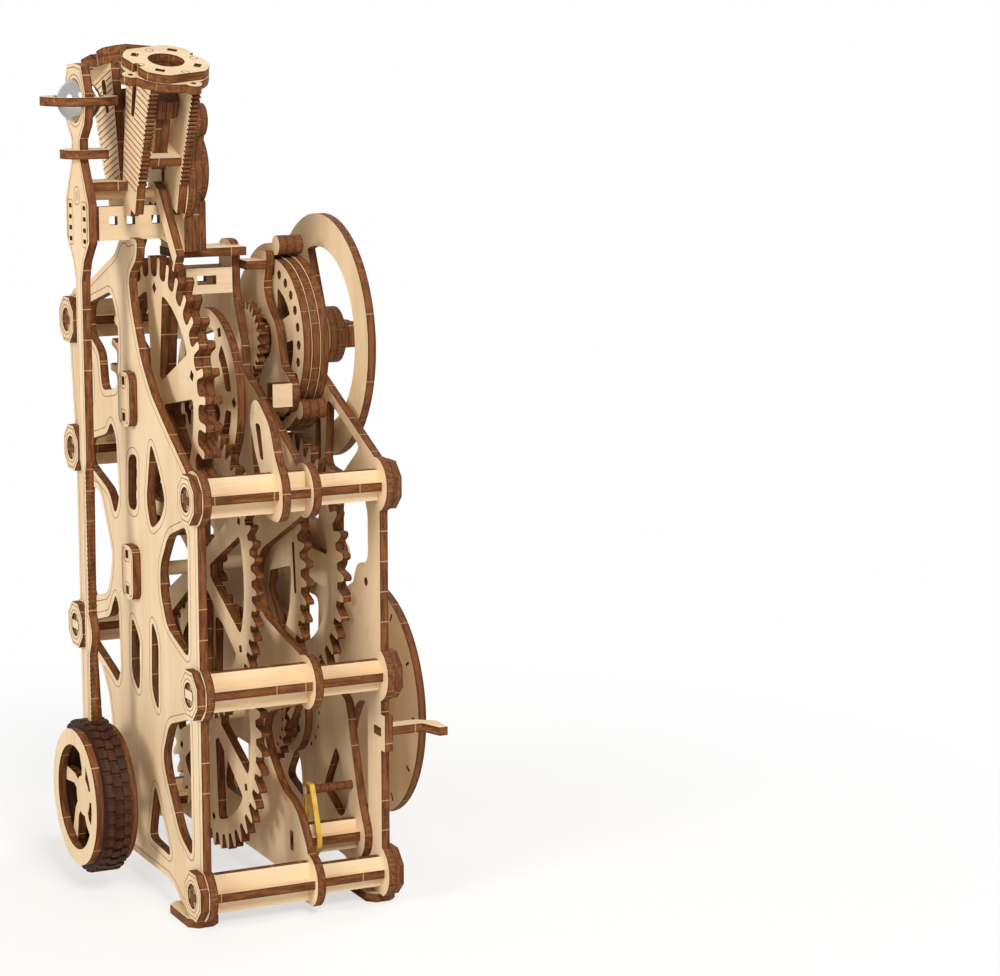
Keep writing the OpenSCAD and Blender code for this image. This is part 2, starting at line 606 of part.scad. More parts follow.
// Drum, ratchet and click of the winding arbor
ratchet_d = minute_d + ply + side_gap;
ratchet_teeth = 24;
ratchet_r = 19;
ratchet_depth = 2.4;
module ratchet_wheel() {
    color(birch) sheet_y(y_at(ratchet_d)) translate([0, wind_z]) difference() {
        shape([for (i = [0:ratchet_teeth - 1]) each [for (k = [0, 1])
            let (a = (i + k * 0.94) * 360 / ratchet_teeth, r = ratchet_r - ratchet_depth * (1 - k))
            [r * sin(a), r * cos(a)]]]);
        spin_copies(ratchet_teeth) rotate(3) translate([0, ratchet_r * 0.78]) hole(ply / 4);
        hole(arbor_r);
    }
}
drum_core_r = 11;
drum_flange_r = 16.5;
module cord_drum() {
    depth = motion_d - side_gap - ratchet_d - ply;
    color(birch_dark) {
        sheet_y(y_at(ratchet_d + ply), depth - ply) translate([0, wind_z]) difference() {
            union() {
                hole(drum_core_r);
                spin_copies(8) translate([0, drum_core_r]) square([ply, ply], center = true);
            }
            hole(arbor_r);
        }
        sheet_y(y_at(ratchet_d + depth)) translate([0, wind_z]) difference() {
            hole(drum_flange_r);
            spin_copies(6) translate([0, drum_flange_r * 0.72]) hole(ply / 2);
            hole(arbor_r);
        }
    }
}
click_place = [-29, 13];
click_pin_r = 1.6;
module ratchet_click() {
    tip = turned([0, ratchet_r + end_gap], -90 + 0.5 * 360 / ratchet_teeth);
    color(birch) {
        sheet_y(y_at(ratchet_d)) translate([0, wind_z]) shape([
            tip, tip + [-click_pin_r * 2, click_pin_r * 1.6], click_place + [click_pin_r, click_pin_r * 2.6],
            click_place + [-click_pin_r * 2, click_pin_r * 2], click_place + [-click_pin_r * 2.4, -click_pin_r],
            click_place + [0, -click_pin_r * 2.4], tip + [-click_pin_r * 2, -click_pin_r * 1.2]]);
        translate([click_place[0], y_b, wind_z + click_place[1]]) rotate([90, 0, 0])
            cylinder(r = click_pin_r, h = ratchet_d - ply - gap_ab, $fn = 32);
    }
}
module lower_dial() {
    color(birch) {
        sheet_y(y_at(dial_d)) translate([0, wind_z]) difference() {
            hole(disc_r);
            hole(arbor_r);
            spin_copies(12) translate([0, disc_r * 0.9]) square([ply / 3, ply], center = true);
        }
        sheet_y(y_at(dial_d - ply)) translate([0, wind_z]) difference() {
            hole(disc_r * 0.3);
            hole(arbor_r);
        }
    }
}

// Escape wheel: two layers with deep round gullets and rounded teeth
gullet_depth = 7;
gullet_share = 0.35;
tooth_round = 2.4;
function escape_points() = soft([for (i = [0:escape_teeth - 1]) each [
    for (q = [[gullet_share, -1], [gullet_share, 0], [1 - gullet_share, 0], [1 - gullet_share, -1]])
        let (a = (i + q[0]) * 360 / escape_teeth, r = escape_r + q[1] * gullet_depth)
        [r * sin(a), r * cos(a)]]], tooth_round);
module escape_layer(d, bore) {
    r_out = escape_r - gullet_depth - bar_w * 0.55;
    sheet_y(y_at(d)) translate([0, escape_z]) difference() {
        shape(escape_points());
        spoked(5, r_out * hub_share, r_out, escape_window_angles);
        spin_copies(5) translate([0, r_out + bar_w * 0.1]) diamond(ply);
        hole(bore);
    }
}
module escape_wheel_rear() { color(birch) escape_layer(escape_d, arbor_r); }
module escape_wheel_front() { color(birch_dark) escape_layer(escape_d + ply, arbor_r); }
escape_disc_r = 30;
module escape_disc() {
    color(birch) sheet_y(y_at(great_d)) translate([0, escape_z]) difference() {
        hole(escape_disc_r);
        spin_copies(6) shape(soft(sector(escape_disc_r * 0.62, escape_disc_r * 0.8, 20, 22), ply));
        spin_copies(6) rotate(30) translate([0, escape_disc_r * 0.88]) diamond(ply);
        spin_copies(3) translate([0, escape_disc_r * 0.38]) hole(ply);
        hole(arbor_r);
    }
}

// Drum with round and six sided holes on the hand arbor
module drum_plate_rear() {
    color(birch) sheet_y(y_at(drum_d)) translate([0, hand_z]) difference() {
        hole(drum_r);
        spin_copies(12) translate([0, drum_r * 0.84]) hole(ply * 0.55);
        spin_copies(12) rotate(15) translate([0, drum_r * 0.84]) circle(r = ply * 0.6, $fn = 6);
        spoked(5, drum_r * 0.36, drum_r * 0.66, drum_window_angles);
        hole(arbor_r);
    }
}
module drum_plate_front() {
    color(birch_dark) for (i = [1, 2]) sheet_y(y_at(drum_d + ply * i)) translate([0, hand_z]) difference() {
        hole(drum_r + drum_step * i);
        spoked(5, drum_r * 0.36, drum_r * 0.66, drum_window_angles);
        hole(arbor_r);
    }
}
hub_w = 9;
module drum_hub() {
    start = hand_wheel_d + ply;
    color(birch) sheet_y(y_at(start), drum_d - start) translate([0, hand_z]) difference() {
        square(hub_w, center = true);
        hole(arbor_r);
    }
}
// Caliper plate behind the drum: outline round the hand arbor as shares of the drum's radius,
// closed by an arc on the far side
caliper_shares = [[0.3, 1.07], [-0.11, 1.11], [-0.11, 0.95], [0, 0.65], [-0.13, 0.42], [-0.42, 0.2],
    [-0.52, -0.11], [-0.58, -0.29], [-0.84, -0.41], [-0.96, -0.61], [-0.8, -0.84], [-0.29, -0.89]];
caliper_arc_angles = [172, 22];
module caliper_plate() {
    rim = arc(drum_r * 1.04, caliper_arc_angles[0], caliper_arc_angles[1], 14);
    color(birch) sheet_y(y_at(caliper_d)) translate([0, hand_z]) difference() {
        shape(soft(concat([for (q = caliper_shares) drum_r * q], rim), ply));
        hole(hub_w * 0.8);
    }
}
// Three crescents on the caliper plate that reach round the drum, with a round lobe at each end
crescent_angles = [-8, 228];
crescent_w = 3.5;
crescent_in = drum_r + drum_step * 2 + side_gap;
module caliper_layers() {
    from = crescent_angles[0];
    to = crescent_angles[1];
    color(birch_dark) for (i = [1:3]) sheet_y(y_at(caliper_d + ply * i)) translate([0, hand_z]) {
        shape(concat(arc(crescent_in + crescent_w, from, to, 40), arc(crescent_in, to, from, 40)));
        for (a = [from, to]) rotate(-a) translate([0, crescent_in + crescent_w]) hole(crescent_w - run_gap);
    }
}
// Each block's centre, width and height as shares of the drum's radius
caliper_block_shares = [[0.07, 0.935, 0.36, 0.107], [-0.84, -0.6, 0.18, 0.29], [0.88, 0.32, 0.18, 0.29]];
module caliper_blocks() {
    depth = caliper_d - ply * 2 - gap_ab;
    color(birch) for (q = caliper_block_shares) sheet_y(y_b - ply, depth) translate([0, hand_z])
        translate(drum_r * [q[0], q[1]]) square(drum_r * [q[2], q[3]], center = true);
}

// Upper dial ring on two arms, and the block at its hub
arm_w = 6;
arm_angles = [25, 152];
module dial_ring() {
    color(birch) sheet_y(y_at(ring_d)) translate([0, hand_z]) difference() {
        union() {
            difference() {
                hole(ring_r);
                hole(ring_hole_r);
            }
            hole(centre_hub_r);
            for (a = arm_angles) rotate(-a) translate([-arm_w / 2, 0]) square([arm_w, ring_hole_r + cut]);
        }
        hole(arbor_r);
    }
}
module dial_hub() {
    color(birch) {
        sheet_y(y_at(ring_d + ply)) translate([0, hand_z]) difference() {
            hole(centre_hub_r);
            hole(arbor_r);
        }
        sheet_y(y_at(ring_d + ply * 2), ply * 2) translate([0, hand_z]) difference() {
            square(hub_w, center = true);
            hole(arbor_r);
            translate([-ply / 4, 0]) square([ply / 2, hub_w]);
        }
    }
}

// Bridge from the middle plate's post to the engine, a slotted bracket under it, and the board
// that carries the engine
bridge_rise = escape_rise + escape_r - ply * 0.3;
bridge_z = low_z + bridge_rise;
post_left = beam_x * post_shares[0];
post_right = beam_x * post_shares[1];
bracket_h = 9;
bracket_l = 17;
bracket_z = bridge_z - bracket_h * 1.5;
module bridge_slots() {
    translate([-ply, bridge_z]) square([post_right, ply]);
}
module bridge_strips() {
    color(birch) {
        sheet_z(bridge_z) translate([-ply, y_b - ply]) square([post_right, engine_front - y_b]);
        for (x = [post_left, post_right - ply]) difference() {
            translate([x, y_b, bracket_z]) cube([ply, bracket_l, bracket_h]);
            translate([x - cut, y_b + bracket_l * 0.35, bracket_z + bracket_h * 0.35])
                cube([ply + cut * 2, bracket_l * 0.41, bracket_h * 0.35]);
        }
    }
}
board_h = 11.6;
board_top = swing_rise - swing_r - anchor_hub_w - run_gap;
board_low = board_top - board_h;
board_back = 10.8;
board_front = 14;
board_toe = 20.5;
module board_slot() {
    translate([-ply / 2, low_z + board_low]) square([ply, bar_w]);
}
module top_board() {
    foot = bridge_rise + ply - board_low;
    color(birch) translate([0, y_a, low_z + board_low]) sheet_x(-ply / 2) difference() {
        shape([[board_back, 0], [board_back, board_h], [-board_front, board_h], [-board_toe, foot],
            [-board_toe + ply, foot], [-board_front + ply, 0]]);
        for (y = [board_back - ply * 1.2, ply * 0.3, -board_front + ply * 2])
            translate([y - ply, board_h * 0.45]) square(ply);
        shape([[-board_front + ply * 0.5, board_h * 0.6], [-board_front - ply * 0.35, ply * 0.3],
            [-board_front + ply * 0.5, ply * 0.3]]);
    }
}

// Twin cylinders. Along a cylinder's axis v is the distance from the crossing of both axes.
y_e = y_a + ply * 2 / 3 - engine_w / 2;
engine_back = y_e + engine_w / 2;
engine_front = y_e - engine_w / 2 + ply;
plate_low = 16;
fin_low = 26;
plate_high = cover_reach - ply * 2;
fin_depth = 1.1;
fin_count = floor((plate_high - fin_low) / fin_pitch);
half_low = 8.6;
half_high = 12;
function half_at(v) = half_low + (half_high - half_low) * (v - plate_low) / (plate_high - plate_low);
// Outline of one upright cylinder side plate: plain inner edge, toothed outer edge
function cylinder_plate() = concat(
    [[half_low, plate_low], [half_high, plate_high], [-half_high, plate_high]],
    [for (i = [fin_count - 1:-1:0]) each [for (q = [[0, 0.9], [0, 0.45], [fin_depth, 0.45], [fin_depth, 0]])
        let (v = fin_low + (i + q[1]) * fin_pitch) [-half_at(v) + q[0], v]]],
    [[-half_low, plate_low]]);
module lean_flat(side) { translate([0, crank_z]) rotate(side * lean) children(); }
module engine_plate_2d() {
    difference() {
        union() {
            for (side = [-1, 1]) lean_flat(-side) shape([for (p = cylinder_plate()) [-side * p[0], p[1]]]);
            translate([0, low_z]) shape([[-half_high, board_top + ply * 3], [half_high, board_top + ply * 3],
                [half_low, board_top - ply], [-half_low, board_top - ply]]);
        }
        // The open vee between the cylinders
        translate([0, crank_z]) shape([[-cut, plate_low + ply * 2], [cut, plate_low + ply * 2],
            [half_low * 1.1, plate_high * 1.1], [-half_low * 1.1, plate_high * 1.1]]);
        for (side = [-1, 1]) lean_flat(-side) translate([-side * half_high * 0.22, plate_high - ply * 5])
            shape(soft([[-ply / 2, 0], [ply / 2, 0], [ply, ply * 4], [-ply / 2, ply * 4]], ply));
        translate([0, swing_z]) hole(swing_r + run_gap);
        translate([-ply / 2, low_z + board_low]) square([ply, board_top - board_low]);
    }
}
module engine_plate_rear() { color(birch) sheet_y(engine_back) engine_plate_2d(); }
module engine_plate_front() { color(birch) sheet_y(engine_front) engine_plate_2d(); }

// Places a child along a cylinder's axis at v; side is -1 for the one that leans to -x
module on_cylinder(side, v) {
    translate([0, y_e, crank_z]) rotate([0, side * lean, 0]) translate([0, 0, v]) children();
}
cover_hole_r = 6.2;
cover_flat_share = 0.86;
module cover_low_2d() {
    difference() {
        union() {
            hole(cover_r);
            for (a = [20, 110, 200, 290]) rotate(a) translate([cover_r, 0]) hole(ply * 0.95);
        }
        hole(cover_hole_r);
        for (a = [20, 110, 200, 290]) rotate(a) translate([cover_r, 0]) hole(ply * 0.3);
    }
}
module cover_high_2d() {
    difference() {
        intersection() {
            hole(cover_r * 0.98);
            rotate(15) square(cover_r * cover_flat_share * 2, center = true);
        }
        hole(cover_hole_r);
        for (a = [60, 150, 240, 330]) rotate(a) translate([cover_r * 0.72, 0])
            square([ply * 0.8, ply * 1.1], center = true);
        for (a = [-70, 110]) rotate(a) translate([cover_r, 0]) square([ply * 2.4, ply * 1.1], center = true);
    }
}
module engine_cover_layers() {
    color(birch) for (side = [-1, 1]) {
        on_cylinder(side, plate_high) linear_extrude(ply) cover_low_2d();
        on_cylinder(side, plate_high + ply) linear_extrude(ply) cover_high_2d();
    }
}
shelf_reach = 33;
shelf_half = 7;
piston_rod_w = 6;
piston_rod_d = 5;
module engine_shelves() {
    inside = engine_w - ply * 2;
    color(birch) for (side = [-1, 1]) on_cylinder(side, shelf_reach) linear_extrude(ply) difference() {
        translate([side * half_low * 0.1, 0]) square([shelf_half * 2, inside], center = true);
        square([piston_rod_w + end_gap * 2, piston_rod_d + end_gap * 2], center = true);
    }
}
piston_r = 5.6;
piston_reach = 49;
module piston(side) {
    on_cylinder(side, 0) {
        translate([-piston_rod_w / 2, -piston_rod_d / 2, shelf_reach - ply])
            cube([piston_rod_w, piston_rod_d, piston_reach - shelf_reach + ply]);
        for (i = [0, 1]) translate([0, 0, piston_reach + i * ply]) cylinder(r = piston_r, h = ply, $fn = 48);
    }
}
module pistons_near() { color(birch_dark) piston(-1); }
module pistons_far() { color(birch_dark) piston(1); }
// Crank cover: three sheets, each smaller and set higher than the one behind it. The rear two have
// a lobe on each cylinder and a notch for the board.
crank_cover_r = 17;
crank_cover_rise = 236;
crank_inset = 2;
crank_lobe_r = 7.6;
crank_lobe_reach = 46.4;
module crank_cover_2d(layer) {
    shrink = layer * crank_inset;
    post = half_high - shrink * 0.75;
    arm = crank_lobe_r * 0.7 - shrink;
    arm_low = plate_low + ply * 2;
    difference() {
        union() {
            if (layer < 2) for (side = [-1, 1]) lean_flat(side) {
                translate([0, crank_lobe_reach]) hole(crank_lobe_r - shrink);
                translate([-arm, arm_low]) square([arm * 2, crank_lobe_reach - arm_low]);
            }
            translate([0, low_z + crank_cover_rise + shrink]) hole(crank_cover_r - shrink);
            translate([-post, bridge_z + ply]) square([post * 2, crank_cover_r]);
        }
        if (layer < 2) translate([-ply / 2, bridge_z]) square([ply, board_top - bridge_rise]);
    }
}
module engine_crank_cover() {
    color(birch_dark) for (i = [0:2]) sheet_y(engine_front - ply * (i + 1)) crank_cover_2d(i);
}

// Anchor: straddles the board and holds two pallets over the escape wheel's gullets
anchor_d = escape_d + run_gap * 2;
anchor_leg = 3;
pallet_w = 1.6;
pallet_pitches = 2;
module anchor() {
    a = pallet_pitches * 360 / escape_teeth;
    reach = escape_r + end_gap;
    tip = [reach * sin(a), reach * cos(a) + escape_z - swing_z];
    out = [(escape_r + ply) * sin(a), (escape_r + ply) * cos(a) + escape_z - swing_z];
    side = pallet_w / 2 * [cos(a), -sin(a)];
    leg = [[0, ply], [ply * 2, ply / 2], out + [anchor_leg, ply], out + side, tip + side, tip - side,
        out - side, [ply * 1.5, -ply * 1.4], [0, -ply / 4]];
    color(birch_dark) sheet_y(y_at(anchor_d)) translate([0, swing_z]) difference() {
        union() {
            hole(swing_r + anchor_hub_w);
            shape(leg);
            shape(mirrored(leg));
        }
        hole(swing_r);
    }
}
module swing_arbor() {
    color(birch_dark) translate([0, y_rod, swing_z]) rotate([90, 0, 0])
        cylinder(r = swing_r, h = y_rod - engine_front + ply - end_gap, $fn = 48);
}

// Pendulum rod outline: half widths as shares of the lamp's diameter against heights
rod_shares = [[0, 0.85], [0.5, 0.8], [0.76, 0.2], [0.76, -0.12], [0.66, -0.5], [0.3, -0.88],
    [0.3, -1.35], [0.53, -1.76], [0.82, -2.3], [0.82, -3.18], [0.4, -3.65]];
rod_notch_rise = 138;
rod_notch_depth = 0.35;
rod_notch_pitch = 1.7;
rod_notches = floor((rod_notch_rise - bob_rise - tyre_r) / rod_notch_pitch);
rod_notch_shares = [[0, 0], [0, 0.5], [1, 0.5], [1, 1]];
function rod_half() = concat(
    [for (q = rod_shares) [q[0] * lamp_d, lamp_z + q[1] * lamp_d]],
    [[rod_half_w, lamp_z - lamp_d * 4.1], [rod_half_w, low_z + rod_notch_rise + ply]],
    [for (i = [0:rod_notches - 1]) each [for (q = rod_notch_shares)
        [rod_low_w - q[0] * rod_notch_depth, low_z + rod_notch_rise - (i + q[1]) * rod_notch_pitch]]],
    [[rod_low_w, bob_z + ply * 3], [ply * 1.6, bob_z + ply], [ply * 1.6, bob_z - ply], [0, bob_z - ply * 2]]);
bulge_rise = 80;
bulge_half = 7;
bulge_out = 3.5;
module rod_2d() {
    half = rod_half();
    shape(concat(half, mirrored(half)));
    translate([0, low_z + bulge_rise]) shape(soft([[0, bulge_half], [-rod_low_w, bulge_half],
        [-rod_low_w - bulge_out, 0], [-rod_low_w, -bulge_half], [0, -bulge_half]], ply));
}
rod_slots = 4;
module pendulum_rod() {
    color(birch) sheet_y(y_rod) difference() {
        rod_2d();
        translate([0, lamp_z]) hole(lamp_d / 2 + run_gap);
        translate([0, swing_z]) hole(swing_r);
        translate([0, bob_z]) hole(arbor_r);
        for (x = [-1, 1], i = [1:rod_slots]) translate([x * lamp_d / 2, swing_z - i * ply * 1.25])
            square([ply, ply / 2], center = true);
    }
}
shelf_half_w = 7;
module fork_shelves() {
    color(birch) {
        sheet_z(lamp_z - lamp_d * 1.31) translate([0, y_rod - ply / 2]) difference() {
            shape(soft([[-shelf_half_w, -ply * 3], [shelf_half_w, -ply * 3], [shelf_half_w, ply],
                [ply, ply * 2.2], [-ply, ply * 2.2], [-shelf_half_w, ply]], ply * 1.5));
            square([lamp_d * 0.64, ply], center = true);
        }
        sheet_z(swing_z + swing_r) translate([-shelf_half_w, engine_back + side_gap])
            square([shelf_half_w * 2, y_rod - ply - engine_back - side_gap]);
    }
}
module lamp_ring() {
    inner = lamp_d / 2 + lamp_gap;
    color(birch) sheet_z(lamp_z - ply / 2) translate([0, y_rod - ply / 2]) difference() {
        hole(inner + ring_w);
        hole(inner);
        square([lamp_d * rod_shares[2][0] * 2 + run_gap, ply], center = true);
    }
}
module lamp_ball() {
    color("silver") translate([0, y_rod - ply / 2, lamp_z]) sphere(d = lamp_d, $fn = 64);
}

// Pendulum wheel: stacked rings, the middle one in the plane of the rod
function wheel_y(k) = y_rod - ply / 2 + wheel_half - k * ply;
tread_blocks = 36;
tread_depth = 0.9;
tread_in = tyre_r * 0.72;
function tread_points(phase) = [for (i = [0:tread_blocks - 1]) each [
    for (q = [[0, 0], [0.6, 0], [0.6, 1], [1, 1]]) let (a = (i + q[0] + phase) * 360 / tread_blocks)
        (tyre_r - q[1] * tread_depth) * [sin(a), cos(a)]]];
module wheel_tread() {
    color(birch_dark) for (k = [1:wheel_layers - 2]) sheet_y(wheel_y(k)) difference() {
        translate([0, bob_z]) shape(tread_points(k % 2 / 4));
        translate([0, bob_z]) hole(tread_in);
        if (k == (wheel_layers - 1) / 2) rod_2d();
    }
}
rim_r = tyre_r - ply;
module wheel_rims() {
    color(birch) for (k = [0, wheel_layers - 1]) sheet_y(wheel_y(k)) translate([0, bob_z]) difference() {
        hole(rim_r);
        hole(rim_r * 0.77);
    }
}
spoke_count = 5;
spoke_angles = [-2, 14];
module wheel_spokes() {
    color(birch) for (k = [1, wheel_layers - 2]) sheet_y(wheel_y(k)) translate([0, bob_z]) difference() {
        union() {
            hole(tyre_r * 0.26);
            spin_copies(spoke_count) shape(soft(concat(
                [[-ply * 0.7, 0], [-ply * 1.1, tread_in * 0.5]],
                arc(tread_in, spoke_angles[0], spoke_angles[1], 2),
                [[ply * 0.2, tread_in * 0.5], [ply * 0.7, 0]]), ply / 8));
        }
        hole(arbor_r);
    }
    color(birch_dark) translate([0, wheel_y(1), bob_z]) rotate([90, 0, 0])
        cylinder(r = arbor_r, h = ply * (wheel_layers - 2), $fn = 48);
}

// Levers
hook_shares = [[1.15, 1.9], [0.8, 2], [0.07, 1.5], [-0.2, 0.86], [-0.66, 0.3], [-0.66, -0.3], [-0.4, -0.62],
    [0.28, -0.62], [0.5, -0.3], [0.6, 0.3], [1, 0.8], [1.3, 1.5]];
hook_slot_shares = [[0.45, 0.66], [0.65, 0.66], [0.95, 1.45], [0.65, 1.45]];
hook_r = 15;
module hook_lever() {
    place = full_beams[4];
    color(birch) sheet_y(y_at(great_d)) translate(place) difference() {
        shape(soft([for (q = hook_shares) hook_r * q], ply * 1.5));
        shape(soft([for (q = hook_slot_shares) hook_r * q], ply / 2));
        square([ply, beam_h], center = true);
        square([beam_h, ply], center = true);
    }
}
stop_rise = mid_rise * 0.715;
stop_lever_h = 6;
stop_front = 21.5;
stop_bend = 11;
stop_lever_place = [-beam_x, low_z + stop_rise];
module stop_lever() {
    w = stop_lever_h / 2;
    color(birch) translate([stop_lever_place[0], y_c, 0]) sheet_z(stop_lever_place[1] - ply / 2) shape([
        [-w, 0], [-w, -stop_front * 0.72], [-stop_bend, ply - stop_front], [-stop_bend, -stop_front],
        [-w / 2, -stop_front], [w, -stop_front * 0.7], [w, 0]]);
}

// Pin on the winding plate and the rubber band between it and the short beam
band_pin_place = [-44, 27];
band_pin_r = 1.5;
band_pin_d = 45;
band_t = 0.9;
module rubber_band() {
    pin = [band_pin_place[0], low_z + band_pin_place[1]];
    reach = beam_front_h / 2 + end_gap;
    slim = ply / 2 + end_gap;
    loop = soft([pin + [band_pin_r, band_pin_r], pin + [-band_pin_r, band_pin_r],
        step_beam + [-reach, slim], step_beam + [-reach, -slim], step_beam + [-slim, -reach],
        step_beam + [slim, -reach], step_beam + [reach, -slim], step_beam + [reach, slim]], end_gap);
    color("gold") sheet_y(y_at(band_pin_d + band_t), band_t * 2) difference() {
        offset(r = band_t, $fn = 16) shape(loop);
        shape(loop);
    }
}

plate_rear();
plate_middle();
plate_front();
beam_upright_strips();
beam_flat_strips();
caps_rear();
caps_front();
cap_wedges();
foot_pads();
bearing_blocks_rear();
bearing_blocks_front();
winding_arbor();
great_wheel();
cord_drum();
ratchet_wheel();
ratchet_click();
lower_dial();
centre_arbor();
centre_wheel();
centre_pinion();
minute_wheel();
motion_wheel();
centre_knob();
escape_arbor();
escape_wheel_rear();
escape_wheel_front();
escape_pinion();
escape_disc();
hand_arbor();
hand_wheel();
drum_plate_rear();
drum_plate_front();
drum_hub();
dial_ring();
dial_hub();
caliper_plate();
caliper_layers();
caliper_blocks();
winding_plate();
bridge_strips();
top_board();
swing_arbor();
anchor();
pendulum_rod();
fork_shelves();
lamp_ring();
lamp_ball();
wheel_tread();
wheel_rims();
wheel_spokes();
engine_plate_rear();
engine_plate_front();
engine_cover_layers();
engine_crank_cover();
engine_shelves();
pistons_near();
pistons_far();
hook_lever();
stop_lever();
rubber_band();
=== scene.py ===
import json
import math

import bpy
import numpy as np
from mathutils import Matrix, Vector


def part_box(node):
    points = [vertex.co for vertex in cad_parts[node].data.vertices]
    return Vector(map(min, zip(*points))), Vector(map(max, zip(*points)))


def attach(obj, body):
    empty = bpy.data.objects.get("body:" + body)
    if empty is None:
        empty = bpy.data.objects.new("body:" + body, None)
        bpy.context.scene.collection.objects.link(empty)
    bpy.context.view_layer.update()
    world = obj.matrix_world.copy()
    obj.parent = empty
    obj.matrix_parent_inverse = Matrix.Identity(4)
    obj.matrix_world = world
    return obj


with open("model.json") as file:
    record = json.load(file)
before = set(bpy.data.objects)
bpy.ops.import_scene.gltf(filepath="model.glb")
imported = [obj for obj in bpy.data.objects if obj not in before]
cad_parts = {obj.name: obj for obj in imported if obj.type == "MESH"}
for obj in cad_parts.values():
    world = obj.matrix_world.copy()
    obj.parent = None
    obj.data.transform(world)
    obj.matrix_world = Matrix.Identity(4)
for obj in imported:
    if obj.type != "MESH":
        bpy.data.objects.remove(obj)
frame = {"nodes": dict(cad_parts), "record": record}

mm = 0.001
micron = 1e-6
shortest = 1e-9  # metres, so that no direction is found by dividing by nothing
scene = bpy.context.scene
nodes = frame["nodes"]
behaviour = frame["record"]["behaviour"]
bodyOf = {node: body for body, held in behaviour["bodies"].items() for node in held}
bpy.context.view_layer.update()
print("clock: frame loaded,", len(nodes), "pieces")

# the rear plate's rear face and the thickness of a plywood sheet, read from the frame
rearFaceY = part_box("plate_rear")[1].y
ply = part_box("plate_rear")[1].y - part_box("plate_rear")[0].y


# a desk puts nodes in one tree; a value that is a socket is linked, any other is set
class NodeDesk:
    def __init__(self, tree):
        self.tree = tree

    def put(self, kind, values=(), **settings):
        node = self.tree.nodes.new(kind)
        for key, value in settings.items():
            setattr(node, key, value)
        for key, value in dict(values).items():
            if isinstance(value, bpy.types.NodeSocket):
                self.tree.links.new(value, node.inputs[key])
            else:
                node.inputs[key].default_value = value
        return node

    def math(self, operation, a, b=0.0, c=0.0):
        return self.put("ShaderNodeMath", {0: a, 1: b, 2: c}, operation=operation).outputs[0]

    def vector(self, operation, a, b):
        node = self.put("ShaderNodeVectorMath", {0: a, 1: b}, operation=operation)
        return node.outputs["Value"] if operation == "DOT_PRODUCT" else node.outputs[0]

    def point(self, x, y):
        return self.put("ShaderNodeCombineXYZ", {0: x, 1: y}).outputs[0]

    def noise(self, vector, scale=1.0, detail=2.0, rough=0.5):
        values = {"Vector": vector, "Scale": scale, "Detail": detail, "Roughness": rough}
        return self.put("ShaderNodeTexNoise", values).outputs["Fac"]

    # from 0 below the lower limit smoothly up to 1 above the higher one
    def band(self, value, limits):
        values = {"Value": value, "From Min": limits[0], "From Max": limits[1]}
        return self.put("ShaderNodeMapRange", values, interpolation_type="SMOOTHSTEP").outputs[0]

    def mix(self, share, a, b):
        return self.put("ShaderNodeMix", {0: share, 6: a, 7: b}, data_type="RGBA").outputs[2]


def newMaterial(name):
    material = bpy.data.materials.new(name)
    material.use_nodes = True
    return material, NodeDesk(material.node_tree), material.node_tree.nodes["Principled BSDF"]


# puts a camera or a lamp in the scene, looking along forward
def addAimed(name, data, place, forward):
    obj = bpy.data.objects.new(name, data)
    scene.collection.objects.link(obj)
    obj.location = place
    obj.rotation_mode = "QUATERNION"
    obj.rotation_quaternion = Vector(forward).to_track_quat("-Z", "Y")
    return obj


cameraLook = {
    "place": (-0.988, 0.339 + rearFaceY, 0.3233),
    "forward": (0.886, -0.431, -0.173),
    "focalPixels": 3028.83,  # in a picture of the next width
    "pixelsWide": 1000,
    "sensor": 36.0,
    "nearest": 0.01,
    "farthest": 20,
}


def makeCamera():
    data = bpy.data.cameras.new("photoCamera")
    data.sensor_fit = "HORIZONTAL"
    data.sensor_width = cameraLook["sensor"]
    data.lens = cameraLook["focalPixels"] / cameraLook["pixelsWide"] * cameraLook["sensor"]
    data.clip_start = cameraLook["nearest"]
    data.clip_end = cameraLook["farthest"]
    scene.camera = addAimed("photoCamera", data, cameraLook["place"], cameraLook["forward"])


warmWhite = (1.0, 0.975, 0.94)
coolWhite = (0.98, 0.98, 1.0)
lightLook = {
    # name: place, width, watts, colour
    "keyLight": ((-1.3, 0.1, 1.1), 0.6, 19.0, warmWhite),
    "rearLight": ((-0.5, 1.5, 0.7), 0.7, 17.0, warmWhite),
    "frontLight": ((0.7, -1.4, 0.9), 1.2, 13.0, coolWhite),
}
clockMiddle = (0, 0, 0.15)  # where every lamp points


def makeLights():
    for name, (place, width, watts, colour) in lightLook.items():
        data = bpy.data.lights.new(name, "AREA")
        data.shape = "DISK"
        data.size = width
        data.energy = watts
        data.color = colour
        addAimed(name, data, place, Vector(clockMiddle) - Vector(place))


worldLook = {
    "softColour": (1.0, 0.94, 0.85, 1),  # what lights the clock
    "softStrength": 0.24,
    "seenColour": (1, 1, 1, 1),  # what the camera and polished metal see
    "seenStrength": 1.0,
}


def makeWorld():
    world = bpy.data.worlds.new("paleStudio")
    scene.world = world
    world.use_nodes = True
    world.node_tree.nodes.clear()
    desk = NodeDesk(world.node_tree)
    background = "ShaderNodeBackground"
    soft = desk.put(background, {"Color": worldLook["softColour"], "Strength": worldLook["softStrength"]})
    white = desk.put(background, {"Color": worldLook["seenColour"], "Strength": worldLook["seenStrength"]})
    path = desk.put("ShaderNodeLightPath")
    seen = desk.math("MAXIMUM", path.outputs["Is Camera Ray"], path.outputs["Is Glossy Ray"])
    mix = desk.put("ShaderNodeMixShader", {0: seen, 1: soft.outputs[0], 2: white.outputs[0]})
    desk.put("ShaderNodeOutputWorld", {0: mix.outputs[0]})


